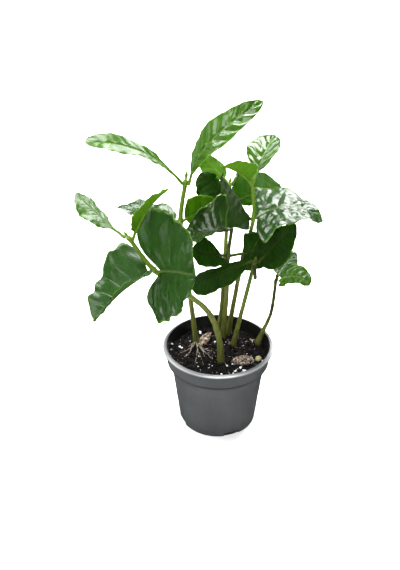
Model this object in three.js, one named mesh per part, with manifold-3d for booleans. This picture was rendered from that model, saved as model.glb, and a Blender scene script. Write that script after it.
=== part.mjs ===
// Young coffee seedlings, seven in one small round nursery pot.
// Millimetres, +Z up. The origin is the centre of the pot's flat underside.
import * as THREE from "three";
import { mergeVertices } from "three/addons/utils/BufferGeometryUtils.js";
import Module from "manifold-3d";

// Pot: a tapered wall, a wider collar and a rolled lip.
const POT_HEIGHT = 48.2;
const POT_BASE_RADIUS = 21.2;
const POT_WALL_TOP_RADIUS = 25.6;
const POT_COLLAR_FOOT = 38.4;
const POT_COLLAR_RADIUS = 27.9;
const POT_LIP_RADIUS = 30;
const POT_LIP = 1.7;
const POT_WALL = 1.1;
const POT_FLOOR = 1.8;
const POT_SEGMENTS = 40;

// Drain notches in the foot of the wall.
const NOTCH_COUNT = 4;
const NOTCH_WIDTH = 9;
const NOTCH_HEIGHT = 2.8;
const NOTCH_DEPTH = 4.5;
const NOTCH_FIRST = -69;

// Soil, filled to a little below the lip.
const SOIL_TOP = 42;
const SOIL_EDGE_DROP = 0.8;
const GAP = 0.3;

// Stems: a flare where they leave the soil, a swelling at each joint, a bud at the tip.
const STEM_SIDES = 8;
const STEM_RINGS_PER_SPAN = 4;
const STEM_FLARE = 0.7;
const STEM_FLARE_HEIGHT = 4;
const JOINT_SWELL = 0.35;
const JOINT_REACH = 2.2;
const BUD_LENGTH = 4.5;

// Leaves: a blade on a short stalk.
const BLADE = 0.7;
const STALK_RADIUS = 0.65;
const STALK_LENGTH = 3.4;
const STALK_REACH = 1.3;
const STALK_END = 0.9;
const LEAF_ROWS = 10;
const RIB_STEPS = 24;
const BLADE_COLUMNS = [-1, -0.67, -0.33, 0, 0.33, 0.67, 1];
const STALK_COLUMNS = [-1, -0.6, -0.2, 0.2, 0.6, 1];
const ROUND_WIDEST = 0.42;
const ROUND_POWER = 2.3;
const ROUND_BASE = 1.48;
const ROUND_CORNER = 0.3;
const ROUND_COVER = 2.2;
const POINTED_BASE_POWER = 1.25;
const POINTED_TIP_POWER = 0.75;
const EDGE_POWER = 2.2;
const EDGE_SHIFT = 0.37;

const OLIVE = 0x6f7f3a;
const DARK_LEAF = 0x24502a;
const MID_LEAF = 0x2f6a30;
const YOUNG_LEAF = 0x6c9c3c;
const PLASTIC = 0x55585a;
const PEAT = 0x1c1714;

// Each stem runs through a few points from its foot to its top joint; seed and top are the
// places of the two leaf joints among them, foot and tip its radii at the two ends.
const STEMS = {
  left: {
    through: [[1.4, -7.8], [0.3, -9.5, 57], [-5, -12, 75], [-15.5, -19.5, 91], [-32.2, -18, 104.3],
      [-43.9, -16, 120.9]],
    seed: 4,
    top: 5,
    foot: 1.7,
    tip: 1,
  },
  tall: {
    through: [[-11.8, 7.1], [-13.6, 6.5, 60], [-16, 7, 81], [-19.8, 10, 116.6], [-17, 11, 137.9]],
    seed: 3,
    top: 4,
    foot: 1.45,
    tip: 1.05,
  },
  middle: {
    through: [[2.8, 13.8], [4, 11.5, 62], [4.6, 8.7, 81], [4.6, 5, 99.7], [6.3, 9, 112.6]],
    seed: 3,
    top: 4,
    foot: 1.5,
    tip: 0.8,
  },
  centre: {
    through: [[6, 17.6], [8.6, 13.5, 66], [12.8, 9.5, 98], [17, 6, 120.8], [15.4, 4, 140.6]],
    seed: 3,
    top: 4,
    foot: 1.45,
    tip: 0.75,
  },
  right: {
    through: [[8.7, 7.1], [11.4, 3.5, 61], [14.6, -1.5, 82.5], [17.3, -8, 103.2]],
    seed: 3,
    top: 3,
    foot: 1.35,
    tip: 0.9,
  },
  outer: {
    through: [[22, 8.6], [24.7, 9.6, 49], [28.9, 12, 59.5], [31, 14, 79.8]],
    seed: 3,
    top: 3,
    foot: 1.25,
    tip: 0.8,
  },
  back: {
    through: [[1, 20], [2.6, 21.5, 62], [3.8, 25, 90], [5, 31, 116.8], [5.9, 33, 127]],
    seed: 3,
    top: 4,
    foot: 1.4,
    tip: 0.8,
  },
};

// Each leaf leaves a joint of its stem. Angles in degrees: heading round from +X, rise above
// level, roll about the rib (the left side goes up), then how much they change towards the
// tip: swing, droop and twist. The fold lifts both halves, or the left one where the right has
// its own; left and right are the widths of the halves as shares of the even one. Wave, waves
// and phase ripple the edge. Lobe is how far the base corners reach back beside the stalk, or
// the left one where the right has its own, and bulge how far the base rounds back between the
// stalk and the corners. Cover is how far the blade runs down its stalk. A low base fills out
// the lower half of a pointed leaf and a low tip the upper half; a low power draws in the end
// of a round one, and widest is the share of its length where it is widest.
const LEAVES = [
  { stem: "left", joint: "seed", side: "a", tone: MID_LEAF, heading: -46, rise: 25, roll: 73,
    droop: 15.8, twist: -5.1, swing: 5.8, length: 24.1, width: 59.6, widest: 0.18, power: 2.14,
    left: 1.04, right: 0.83, fold: 9, foldRight: 4.7, wave: 1.6, waves: 3.2, phase: 0.04, lobe: 10.9,
    lobeRight: 6.4, bulge: 10, seat: 0.5, cover: 0.6 },
  { stem: "left", joint: "seed", side: "b", tone: MID_LEAF, heading: -144, rise: -11, roll: -4.4,
    droop: 34, twist: 12.7, swing: 1.67, length: 35.8, width: 35.5, widest: 0.17, power: 1.44,
    left: 1.22, right: 1.09, fold: 41, foldRight: 31, wave: 2.03, waves: 1.98, phase: 0.21, lobe: 3.6,
    lobeRight: 7.9, seat: 0.4, cover: 2.6 },
  { stem: "left", joint: "top", side: "a", tone: YOUNG_LEAF, heading: 164, rise: 38, droop: -8,
    twist: -2, length: 27, width: 17.5, base: 1.05, tip: 0.58, left: 1.25, right: 0.85, fold: 2,
    foldRight: -12, seat: 0.35 },
  { stem: "left", joint: "top", side: "b", tone: YOUNG_LEAF, heading: -14, rise: 71, roll: -2,
    droop: 34, twist: -24, swing: 8, length: 30, width: 11, base: 0.45, tip: 0.9, left: 1.14,
    right: 1.2, fold: 32, foldRight: 24, seat: 0.1 },
  { stem: "tall", joint: "seed", side: "a", tone: MID_LEAF, heading: 160, rise: 10, roll: 5, droop: 12,
    length: 32, width: 20, fold: 12 },
  { stem: "tall", joint: "seed", side: "b", tone: MID_LEAF, heading: 38, rise: 15, roll: 63, droop: 17,
    twist: 1.67, swing: -5, length: 20.7, width: 17, widest: 0.27, power: 1.84, left: 1.04, right: 1.3,
    fold: 10.7, foldRight: 11.4, lobe: -0.58, lobeRight: -2.04 },
  { stem: "tall", joint: "top", side: "a", tone: YOUNG_LEAF, heading: -158, rise: 54, roll: -24,
    droop: 51, swing: -4.5, length: 52, width: 12.3, base: 1.1, tip: 0.44, left: 1.1, fold: 10,
    foldRight: 4 },
  { stem: "tall", joint: "top", side: "b", tone: YOUNG_LEAF, heading: -38, rise: 75, roll: 26,
    droop: 61, twist: 12, swing: 78, length: 55, width: 16.5, base: 0.36, tip: 0.7, right: 1.04,
    fold: 14, foldRight: 4 },
  { stem: "middle", joint: "seed", side: "a", tone: DARK_LEAF, heading: 182, rise: 9, roll: -76,
    droop: -19.2, twist: -10.8, swing: 28, length: 16.7, width: 13.6, widest: 0.68, power: 1.3,
    left: 1.05, right: 1.22, fold: 15.2, foldRight: -0.98, wave: 0.6, lobe: 9.8, lobeRight: -2.86,
    seat: 0.75 },
  { stem: "middle", joint: "seed", side: "b", tone: DARK_LEAF, heading: 0, rise: 11, roll: 79,
    droop: 16.6, twist: -5.1, swing: -3.2, length: 21, width: 17.9, widest: 0.1, power: 2.61,
    left: 1.29, right: 1.08, fold: 12.8, foldRight: 3.3, wave: 0.4, lobe: 0.3, lobeRight: 8.9,
    stalk: 9 },
  { stem: "middle", joint: "top", side: "a", round: true, tone: DARK_LEAF, heading: 186, rise: -4,
    roll: -9.8, droop: -0.03, twist: -33, swing: -8.3, length: 21.2, width: 39.3, widest: 0.23,
    power: 1.33, left: 1.5, right: 0.97, fold: 45, foldRight: 30, lobe: -3, lobeRight: 9.5,
    seat: 0.2 },
  { stem: "centre", joint: "seed", side: "a", tone: MID_LEAF, heading: 14, rise: 35, roll: -28,
    droop: 83, twist: 5.9, swing: -18.3, length: 37.5, width: 43.1, widest: 0.11, power: 1.3,
    left: 1.2, right: 1.02, fold: 28, foldRight: -31, wave: 0.9, lobe: -3, lobeRight: 8.5, bulge: 1.03,
    cover: 3.4 },
  { stem: "centre", joint: "seed", side: "b", tone: DARK_LEAF, heading: 200, rise: 63, droop: 10.2,
    twist: 1.9, swing: 17.6, length: 30.1, width: 23.1, widest: 0.27, power: 1.3, left: 1.25,
    right: 0.5, fold: -60, foldRight: -66, wave: 1.6, waves: 1.62, phase: 0.19, lobe: 0, lobeRight: 0,
    bulge: 6.6, seat: 0.2 },
  { stem: "centre", joint: "top", side: "a", tone: YOUNG_LEAF, heading: -114, rise: 44, roll: 2,
    droop: 21, twist: 25, swing: -25, length: 27, width: 14.8, base: 1.09, tip: 0.84, left: 1.25,
    right: 1.05, fold: 20 },
  { stem: "centre", joint: "top", side: "b", tone: YOUNG_LEAF, heading: 61, rise: 46, roll: -8,
    droop: 29, swing: 6, length: 26, width: 17.2, base: 1.04, tip: 0.94, left: 1.11, fold: 19,
    foldRight: 16 },
  { stem: "right", joint: "seed", side: "a", tone: DARK_LEAF, heading: 173, rise: -30, roll: -24,
    droop: -4, twist: -24, swing: -10.3, length: 33.8, width: 17.1, widest: 0.75, power: 2.13,
    right: 0.7, fold: -1.54, foldRight: -23, wave: 0.5, lobe: -2.97, lobeRight: 3.5, seat: 0.1 },
  { stem: "right", joint: "seed", side: "b", tone: DARK_LEAF, heading: 13, rise: 46, roll: 46,
    droop: 10, twist: -3, swing: 15.5, length: 23.9, width: 22.1, widest: 0.39, power: 1.31,
    left: 0.74, right: 0.96, fold: 13.3, foldRight: 11, lobe: 5.2, lobeRight: 6.6, bulge: 1, seat: 0.2,
    cover: 1.2 },
  { stem: "outer", joint: "seed", side: "a", tone: MID_LEAF, heading: -6, rise: 40, roll: 27,
    droop: 94, twist: -8.1, swing: -29, length: 16, width: 12.9, widest: 0.22, power: 1.9, left: 1.12,
    right: 0.71, fold: 4, foldRight: -38, wave: 0.5, lobe: -4.5, lobeRight: 4.5, bulge: 3.4,
    stalk: 2.6, seat: 0.6, cover: 0.8 },
  { stem: "outer", joint: "seed", side: "b", tone: MID_LEAF, heading: 68, rise: 16, roll: 4,
    droop: -13, twist: 7.8, swing: -36, length: 18.3, width: 17.7, widest: 0.36, power: 1.55,
    right: 0.74, fold: 7.8, foldRight: 5.5, wave: 0.6, lobe: -3, lobeRight: -6, seat: 0.3,
    cover: 0.8 },
  { stem: "back", joint: "seed", side: "a", tone: DARK_LEAF, heading: 180, rise: 69, roll: -40,
    droop: 38, twist: 5.6, swing: -19.1, length: 19.6, width: 16.5, widest: 0.33, power: 2.72,
    left: 1.26, right: 0.66, fold: 0, foldRight: 10, lobe: -1, lobeRight: -1, seat: 0.3 },
  { stem: "back", joint: "seed", side: "b", tone: MID_LEAF, heading: 22, rise: 17, roll: 68,
    droop: 18.2, twist: -33, swing: 12.4, length: 30.2, width: 22.1, widest: 0.57, power: 2.09,
    left: 1.21, right: 0.58, fold: -17.4, foldRight: 11, lobe: -1.5, lobeRight: -3 },
  { stem: "back", joint: "top", side: "a", tone: YOUNG_LEAF, heading: 122, rise: 19, roll: -38,
    droop: -11.1, twist: 9.6, swing: 22, length: 21.8, width: 12.6, base: 0.59, tip: 0.71, left: 1.07,
    right: 0.85, fold: 2.55, foldRight: -15.1 },
  { stem: "back", joint: "top", side: "b", tone: MID_LEAF, heading: 40, rise: 50, droop: 20, length: 9,
    width: 6.5 },
];

const wasm = await Module();
wasm.setup();

function degrees(angle) {
  return THREE.MathUtils.degToRad(angle);
}

// A closed geometry as a solid that can be cut.
function solidOf(geometry) {
  const bare = geometry.clone();
  bare.deleteAttribute("normal");
  bare.deleteAttribute("uv");
  const merged = mergeVertices(bare, 1e-4);
  return new wasm.Manifold(new wasm.Mesh({
    numProp: 3,
    vertProperties: new Float32Array(merged.attributes.position.array),
    triVerts: new Uint32Array(merged.index.array),
  }));
}

function geometryOf(solid) {
  const mesh = solid.getMesh();
  const geometry = new THREE.BufferGeometry();
  geometry.setAttribute("position", new THREE.BufferAttribute(mesh.vertProperties, 3));
  geometry.setIndex(new THREE.BufferAttribute(mesh.triVerts, 1));
  geometry.computeVertexNormals();
  return geometry;
}

function part(name, geometry, colour, roughness) {
  const material = new THREE.MeshStandardMaterial({ color: colour, roughness, metalness: 0 });
  const mesh = new THREE.Mesh(geometry, material);
  mesh.name = name;
  return mesh;
}

// A closed geometry from a list of points and the quads between them.
function closedGeometry(points, quads) {
  const positions = new Float32Array(points.length * 3);
  points.forEach((point, i) => point.toArray(positions, i * 3));
  const index = [];
  for (const [a, b, c, d] of quads) {
    if (c === d) {
      index.push(a, b, c);
    } else {
      index.push(a, b, c, a, c, d);
    }
  }
  const geometry = new THREE.BufferGeometry();
  geometry.setAttribute("position", new THREE.BufferAttribute(positions, 3));
  geometry.setIndex(index);
  geometry.computeVertexNormals();
  return geometry;
}

// A body of revolution about Z from a profile of radius and height.
function revolve(profile) {
  const points = profile.map(([radius, height]) => new THREE.Vector2(radius, height));
  const geometry = new THREE.LatheGeometry(points, POT_SEGMENTS);
  geometry.rotateX(Math.PI / 2);
  return geometry;
}

function innerRadius(height) {
  const share = (height - POT_FLOOR) / (POT_COLLAR_FOOT - POT_FLOOR);
  return THREE.MathUtils.lerp(POT_BASE_RADIUS, POT_WALL_TOP_RADIUS, share) - POT_WALL;
}

// The inside of the collar, from its foot up to the lip.
function collarRadius(height) {
  const share = (height - POT_COLLAR_FOOT) / (POT_HEIGHT - POT_LIP - POT_COLLAR_FOOT);
  return THREE.MathUtils.lerp(POT_COLLAR_RADIUS, POT_LIP_RADIUS - 1.1, share) - POT_WALL;
}

function makePot() {
  const lipFoot = POT_HEIGHT - POT_LIP;
  const shoulder = POT_COLLAR_FOOT + 0.9;
  const profile = [
    [0, 0],
    [POT_BASE_RADIUS - 1, 0],
    [POT_BASE_RADIUS - 0.2, 0.3],
    [POT_BASE_RADIUS + 0.1, 1],
    [POT_WALL_TOP_RADIUS, POT_COLLAR_FOOT - 0.4],
    [POT_COLLAR_RADIUS - 0.4, POT_COLLAR_FOOT - 0.1],
    [POT_COLLAR_RADIUS, POT_COLLAR_FOOT + 0.3],
    [POT_LIP_RADIUS - 1.1, lipFoot - 0.3],
    [POT_LIP_RADIUS - 0.3, lipFoot],
    [POT_LIP_RADIUS, lipFoot + POT_LIP / 2],
    [POT_LIP_RADIUS - 0.3, POT_HEIGHT - 0.2],
    [POT_LIP_RADIUS - 0.9, POT_HEIGHT],
    [POT_LIP_RADIUS - 1.6, POT_HEIGHT - 0.3],
    [collarRadius(lipFoot), lipFoot],
    [collarRadius(shoulder), shoulder],
    [innerRadius(POT_COLLAR_FOOT), shoulder - 0.3],
    [innerRadius(POT_FLOOR), POT_FLOOR],
    [0, POT_FLOOR],
  ];
  let pot = solidOf(revolve(profile));
  for (let i = 0; i < NOTCH_COUNT; i += 1) {
    const turn = degrees(NOTCH_FIRST + (360 / NOTCH_COUNT) * i);
    const notch = new THREE.BoxGeometry(NOTCH_DEPTH, NOTCH_WIDTH, 2 * NOTCH_HEIGHT);
    notch.translate(POT_BASE_RADIUS, 0, 0);
    notch.rotateZ(turn);
    pot = pot.subtract(solidOf(notch));
  }
  return part("pot", geometryOf(pot), PLASTIC, 0.5);
}

function makeSoil() {
  const foot = POT_FLOOR + GAP;
  const edge = SOIL_TOP - SOIL_EDGE_DROP;
  const shoulder = POT_COLLAR_FOOT + 0.9 + GAP;
  const profile = [
    [0, foot],
    [innerRadius(POT_FLOOR) - GAP, foot],
    [innerRadius(POT_COLLAR_FOOT) - GAP, shoulder],
    [collarRadius(shoulder) - GAP, shoulder + 0.2],
    [collarRadius(edge) - GAP, edge],
    [collarRadius(edge) - GAP - 1.5, SOIL_TOP],
    [0, SOIL_TOP],
  ];
  return part("soil", revolve(profile), PEAT, 0.95);
}

// The points of a stem, its foot on the soil first.
function stemPoints(stem) {
  return stem.through.map(([x, y, z]) => new THREE.Vector3(x, y, z ?? SOIL_TOP + GAP));
}

function jointOf(stem, joint) {
  return stemPoints(stem)[stem[joint]];
}

// A stem's radius between its joints, at a share of the way up to its top joint.
function stemRadius(stem, climb) {
  return THREE.MathUtils.lerp(stem.foot, stem.tip, Math.min(1, climb));
}

function makeStem(name) {
  const stem = STEMS[name];
  const points = stemPoints(stem);
  const last = points.at(-1);
  const up = last.clone().sub(points.at(-2)).normalize();
  const curve = new THREE.CatmullRomCurve3([...points, last.clone().addScaledVector(up, BUD_LENGTH)]);
  const spans = points.length;
  const rings = spans * STEM_RINGS_PER_SPAN;
  const vertices = [];
  const quads = [];
  const joints = [jointOf(stem, "seed"), jointOf(stem, "top")];
  for (let i = 0; i <= rings; i += 1) {
    const share = i / rings;
    const centre = curve.getPoint(share);
    const along = curve.getTangent(share);
    const across = new THREE.Vector3(0, 1, 0).cross(along).normalize();
    const third = along.clone().cross(across);
    let radius = stemRadius(stem, (share * spans) / (spans - 1));
    radius += STEM_FLARE * Math.exp(-(centre.z - SOIL_TOP - GAP) / STEM_FLARE_HEIGHT);
    const nearest = Math.min(...joints.map((joint) => joint.distanceTo(centre)));
    radius *= 1 + JOINT_SWELL * Math.exp(-((nearest / JOINT_REACH) ** 2));
    const bud = Math.max(0, share * spans - (spans - 1));
    radius *= 1 - 0.75 * bud ** 1.5;
    for (let j = 0; j < STEM_SIDES; j += 1) {
      const angle = (2 * Math.PI * j) / STEM_SIDES;
      const point = centre.clone();
      point.addScaledVector(across, radius * Math.cos(angle));
      point.addScaledVector(third, radius * Math.sin(angle));
      if (i === 0) {
        point.z = SOIL_TOP + GAP;
      }
      vertices.push(point);
    }
  }
  for (let i = 0; i < rings; i += 1) {
    for (let j = 0; j < STEM_SIDES; j += 1) {
      const next = (j + 1) % STEM_SIDES;
      const low = i * STEM_SIDES;
      const high = low + STEM_SIDES;
      quads.push([low + j, low + next, high + next, high + j]);
    }
  }
  const top = rings * STEM_SIDES;
  for (let j = 1; j < STEM_SIDES - 1; j += 1) {
    quads.push([0, j + 1, j, j]);
    quads.push([top, top + j, top + j + 1, top + j + 1]);
  }
  return part(`${name}_stem`, closedGeometry(vertices, quads), OLIVE, 0.6);
}

// Half-width of a round leaf as a share of its widest, at a share of the rib's length.
function roundOutline(share, widest, power) {
  const past = (share - widest) / (1 - widest);
  const before = (widest - share) / (widest * ROUND_BASE);
  const off = share > widest ? past : before;
  return Math.max(0, 1 - off ** power) ** (1 / power);
}

// Half-width of a pointed leaf as a share of its widest.
function pointedOutline(share, base, tip) {
  const sum = base + tip;
  const peak = (base / sum) ** base * (tip / sum) ** tip;
  return (share ** base * (1 - share) ** tip) / peak;
}

// The directions along, across and out of a leaf at a share of its rib's length.
function leafAxes(leaf, share) {
  const heading = degrees(leaf.heading + (leaf.swing ?? 0) * share);
  const rise = degrees(leaf.rise - (leaf.droop ?? 0) * share);
  const roll = degrees((leaf.roll ?? 0) + (leaf.twist ?? 0) * share);
  const level = new THREE.Vector3(Math.cos(heading), Math.sin(heading), 0);
  const along = level.clone().multiplyScalar(Math.cos(rise));
  along.z = Math.sin(rise);
  const flat = new THREE.Vector3(-Math.sin(heading), Math.cos(heading), 0);
  const upright = along.clone().cross(flat);
  const across = flat.clone().multiplyScalar(Math.cos(roll)).addScaledVector(upright, Math.sin(roll));
  const out = upright.clone().multiplyScalar(Math.cos(roll)).addScaledVector(flat, -Math.sin(roll));
  return { level, along, across, out };
}

// Where a leaf's stalk leaves its stem, clear of the swollen joint.
function leafFoot(leaf, start) {
  const stem = STEMS[leaf.stem];
  const joint = stemRadius(stem, stem[leaf.joint] / (stem.through.length - 1)) * (1 + JOINT_SWELL);
  const clear = joint + GAP + STALK_RADIUS * Math.abs(start.along.z) + (leaf.seat ?? 0);
  return jointOf(stem, leaf.joint).clone().addScaledVector(start.level, clear);
}

// A seed leaf is round, a top leaf pointed unless it says otherwise.
function isRound(leaf) {
  return leaf.round ?? leaf.joint === "seed";
}

// How far from its foot on the stem a leaf's blade begins.
function bladeReach(leaf) {
  return (leaf.stalk ?? STALK_LENGTH) - (leaf.cover ?? (isRound(leaf) ? ROUND_COVER : 0));
}

// The middle surface of a stalk: rows from the stem to its end, which sinks into a round blade
// and runs on into a pointed one.
function stalkRows(leaf, foot, start) {
  const reach = bladeReach(leaf);
  const columns = isRound(leaf) ? STALK_COLUMNS : BLADE_COLUMNS;
  const end = isRound(leaf) ? [reach + STALK_REACH, STALK_END] : [reach - STALK_RADIUS, 1];
  return [[0, 1], end].map(([length, slim]) => {
    const centre = foot.clone().addScaledVector(start.along, length);
    return columns.map((v) => ({
      point: centre.clone().addScaledVector(start.across, v * STALK_RADIUS * slim),
      thick: 2 * STALK_RADIUS * slim * Math.sqrt(1 - 0.8 * v * v),
    }));
  });
}

// The point of a blade's rib at a share of its length.
function ribPoint(leaf, from, share) {
  const point = from.clone();
  const step = share / RIB_STEPS;
  for (let k = 0; k < RIB_STEPS; k += 1) {
    point.addScaledVector(leafAxes(leaf, (k + 0.5) * step).along, leaf.length * step);
  }
  return point;
}

// Half-width of a leaf at a share of its length, on the side that v is on.
function halfWidth(leaf, share, v) {
  const outline = isRound(leaf)
    ? roundOutline(share, leaf.widest ?? ROUND_WIDEST, leaf.power ?? ROUND_POWER)
    : pointedOutline(share, leaf.base ?? POINTED_BASE_POWER, leaf.tip ?? POINTED_TIP_POWER);
  const half = Math.max(0.6, (outline * leaf.width) / 2);
  return half * ((v > 0 ? leaf.left : leaf.right) ?? 1);
}

// A point of a blade's middle surface: even goes from its base edge to its tip, v across it.
function bladePoint(leaf, from, even, v) {
  const round = isRound(leaf);
  const edge = Math.abs(v);
  const corner = round ? Math.min(leaf.widest ?? ROUND_WIDEST, ROUND_CORNER) : 0;
  const first = corner * (1 - Math.sqrt(1 - 0.98 * edge * edge));
  const share = first + (1 - first) * (round ? 1 - (1 - even) ** 1.5 : even);
  const axes = leafAxes(leaf, share);
  const half = halfWidth(leaf, share, v);
  const both = leaf.fold ?? 10;
  const fold = degrees(v > 0 ? both : leaf.foldRight ?? both);
  const wave = leaf.wave ?? (round ? 1.2 : 0.5);
  const cycle = (leaf.waves ?? 2.6) * share + (leaf.phase ?? 0) + (v > 0 ? 0 : EDGE_SHIFT);
  const ripple = wave * edge ** EDGE_POWER * Math.sin(2 * Math.PI * cycle);
  const lobes = leaf.lobe ?? (round ? 2.6 : -1);
  const lobe = v > 0 ? lobes : leaf.lobeRight ?? lobes;
  const back = lobe * edge ** 1.6 + (leaf.bulge ?? 0) * Math.sin(Math.PI * edge ** 1.2);
  const point = ribPoint(leaf, from, share);
  point.addScaledVector(axes.across, v * half * Math.cos(fold));
  point.addScaledVector(axes.out, edge * half * Math.sin(fold) + ripple);
  point.addScaledVector(axes.along, -back * (1 - share) ** 1.3);
  return point;
}

// The middle surface of a blade: rows along the rib, columns across.
function bladeRows(leaf, foot, start) {
  const from = foot.clone().addScaledVector(start.along, bladeReach(leaf));
  const rows = [];
  for (let i = 0; i <= LEAF_ROWS; i += 1) {
    rows.push(BLADE_COLUMNS.map((v) => ({ point: bladePoint(leaf, from, i / LEAF_ROWS, v), thick: BLADE })));
  }
  return rows;
}

// A closed sheet on both sides of its middle surface.
function sheetGeometry(rows) {
  const count = rows[0].length;
  const far = count - 1;
  const at = (i, j) => rows[Math.min(rows.length - 1, Math.max(0, i))][Math.min(far, Math.max(0, j))].point;
  const upper = [];
  const lower = [];
  rows.forEach((row, i) => row.forEach(({ point, thick }, j) => {
    const along = at(i + 1, j).clone().sub(at(i - 1, j));
    const across = at(i, j + 1).clone().sub(at(i, j - 1));
    const out = along.cross(across).normalize();
    upper.push(point.clone().addScaledVector(out, thick / 2));
    lower.push(point.clone().addScaledVector(out, -thick / 2));
  }));
  const under = upper.length;
  const quads = [];
  const end = (rows.length - 1) * count;
  for (let i = 0; i < rows.length - 1; i += 1) {
    const here = i * count;
    const next = here + count;
    for (let j = 0; j < far; j += 1) {
      quads.push([here + j, next + j, next + j + 1, here + j + 1]);
      quads.push([under + here + j, under + here + j + 1, under + next + j + 1, under + next + j]);
    }
    quads.push([here, under + here, under + next, next]);
    quads.push([here + far, next + far, under + next + far, under + here + far]);
  }
  for (let j = 0; j < far; j += 1) {
    quads.push([j, j + 1, under + j + 1, under + j]);
    quads.push([end + j, under + end + j, under + end + j + 1, end + j + 1]);
  }
  return closedGeometry([...upper, ...lower], quads);
}

function makeLeaf(leaf) {
  const start = leafAxes(leaf, 0);
  const foot = leafFoot(leaf, start);
  const stalk = stalkRows(leaf, foot, start);
  const blade = bladeRows(leaf, foot, start);
  const geometry = isRound(leaf)
    ? geometryOf(solidOf(sheetGeometry(blade)).add(solidOf(sheetGeometry(stalk))))
    : sheetGeometry([...stalk, ...blade]);
  return part(`${leaf.stem}_${leaf.joint}_leaf_${leaf.side}`, geometry, leaf.tone, 0.35);
}

const plant = new THREE.Group();
plant.add(makePot());
plant.add(makeSoil());
for (const name of Object.keys(STEMS)) {
  plant.add(makeStem(name));
}
for (const leaf of LEAVES) {
  plant.add(makeLeaf(leaf));
}

export default plant;
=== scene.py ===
"""Potted coffee seedlings: fine leaves, stems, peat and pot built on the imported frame.

Sizes and places are in millimetres, angles in degrees; every mesh is written in metres.
"""
import logging
import math
from dataclasses import dataclass, field, replace
from enum import Enum
from typing import Any

import bpy
import numpy as np
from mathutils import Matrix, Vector


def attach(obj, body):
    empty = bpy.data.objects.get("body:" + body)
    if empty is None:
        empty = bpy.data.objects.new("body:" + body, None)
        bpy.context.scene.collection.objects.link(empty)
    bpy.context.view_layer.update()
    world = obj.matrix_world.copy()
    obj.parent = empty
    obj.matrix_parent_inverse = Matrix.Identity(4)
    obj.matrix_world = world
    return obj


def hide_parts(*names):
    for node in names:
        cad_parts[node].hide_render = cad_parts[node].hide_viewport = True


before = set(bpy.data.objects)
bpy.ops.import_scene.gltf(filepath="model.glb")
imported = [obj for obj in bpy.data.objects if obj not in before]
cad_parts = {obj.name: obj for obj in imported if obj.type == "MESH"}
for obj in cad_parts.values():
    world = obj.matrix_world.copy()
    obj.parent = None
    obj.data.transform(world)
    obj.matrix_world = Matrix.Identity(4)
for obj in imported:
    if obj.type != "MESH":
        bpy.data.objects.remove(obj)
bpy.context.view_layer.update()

LOG = logging.getLogger("coffee_plant")
METRE = 0.001
SOIL_TOP = 42.0
STEM_FOOT = 42.3
UP = np.array([0.0, 0.0, 1.0])
BACKWARD = np.array([0.0, 1.0, 0.0])

Colour = tuple[float, float, float]
Point = tuple[float, float, float]
Values = dict[str, np.ndarray]


class Slot(Enum):
    """The record's material slots."""

    POT = "pot_plastic"
    SOIL = "soil"
    STEM = "stem"
    DARK = "leaf_dark"
    GREEN = "leaf_green"
    YOUNG = "leaf_young"


class Joint(Enum):
    """The two places on a stem where leaves stand."""

    SEED = "seed"
    TOP = "top"


class Form(Enum):
    """The outline of a blade."""

    ROUND = "round"
    POINTED = "pointed"


class Wax(Enum):
    """How strongly a leaf's wax mirrors; the dull kind also darkens the colours as painted shade."""

    GLOSSY = "glossy"
    SATIN = "satin"
    # Dull wax, with darker colours as painted shade for leaves in the shade of others.
    DULL = "dull"


def smooth_step(low: float, high: float, value: np.ndarray) -> np.ndarray:
    """Rises smoothly from 0 at low to 1 at high: 3x^2 - 2x^3 of the clipped share."""
    share = np.clip((value - low) / (high - low), 0.0, 1.0)
    return share * share * (3.0 - 2.0 * share)


def unit(vectors: np.ndarray) -> np.ndarray:
    """Scales vectors to length one."""
    return vectors / np.maximum(np.linalg.norm(vectors, axis=-1, keepdims=True), 1e-12)


def wave_noise(points: np.ndarray, wavelength: float, seed: int, count: int = 14) -> np.ndarray:
    """Smooth noise: the mean of sine waves of about one wavelength in seeded directions.

    Args:
        points: Places, with two or three numbers each.
        wavelength: Mean distance between crests.
        seed: Seed of the directions and phases.
        count: Number of waves.

    Returns:
        One value per place, mostly between -1 and 1.
    """
    rng = np.random.default_rng(seed)
    ways = unit(rng.normal(size=(count, points.shape[-1])))
    pitch = 2.0 * np.pi / (wavelength * rng.uniform(0.7, 1.4, count))
    turns = rng.uniform(0.0, 2.0 * np.pi, count)
    return np.sin(points @ (ways * pitch[:, None]).T + turns).sum(-1) / math.sqrt(count / 2.0) / 1.6


@dataclass
class Shell:
    """A closed surface in millimetres.

    Attributes:
        points: Places of the vertices, one row each.
        faces: Arrays of vertex numbers, each with three or four columns.
        values: Named numbers for each vertex, read by the materials.
    """

    points: np.ndarray
    faces: list[np.ndarray]
    values: Values = field(default_factory=dict)

    def facing_out(self) -> "Shell":
        """Turns all faces round if the signed volume under them is negative.

        Returns:
            The shell itself.
        """
        volume = 0.0
        for faces in self.faces:
            corners = self.points[faces]
            for last in range(2, faces.shape[1]):
                normal = np.cross(corners[:, last - 1], corners[:, last])
                volume += float((corners[:, 0] * normal).sum())
        if volume < 0.0:
            self.faces = [faces[:, ::-1] for faces in self.faces]
        return self


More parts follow.
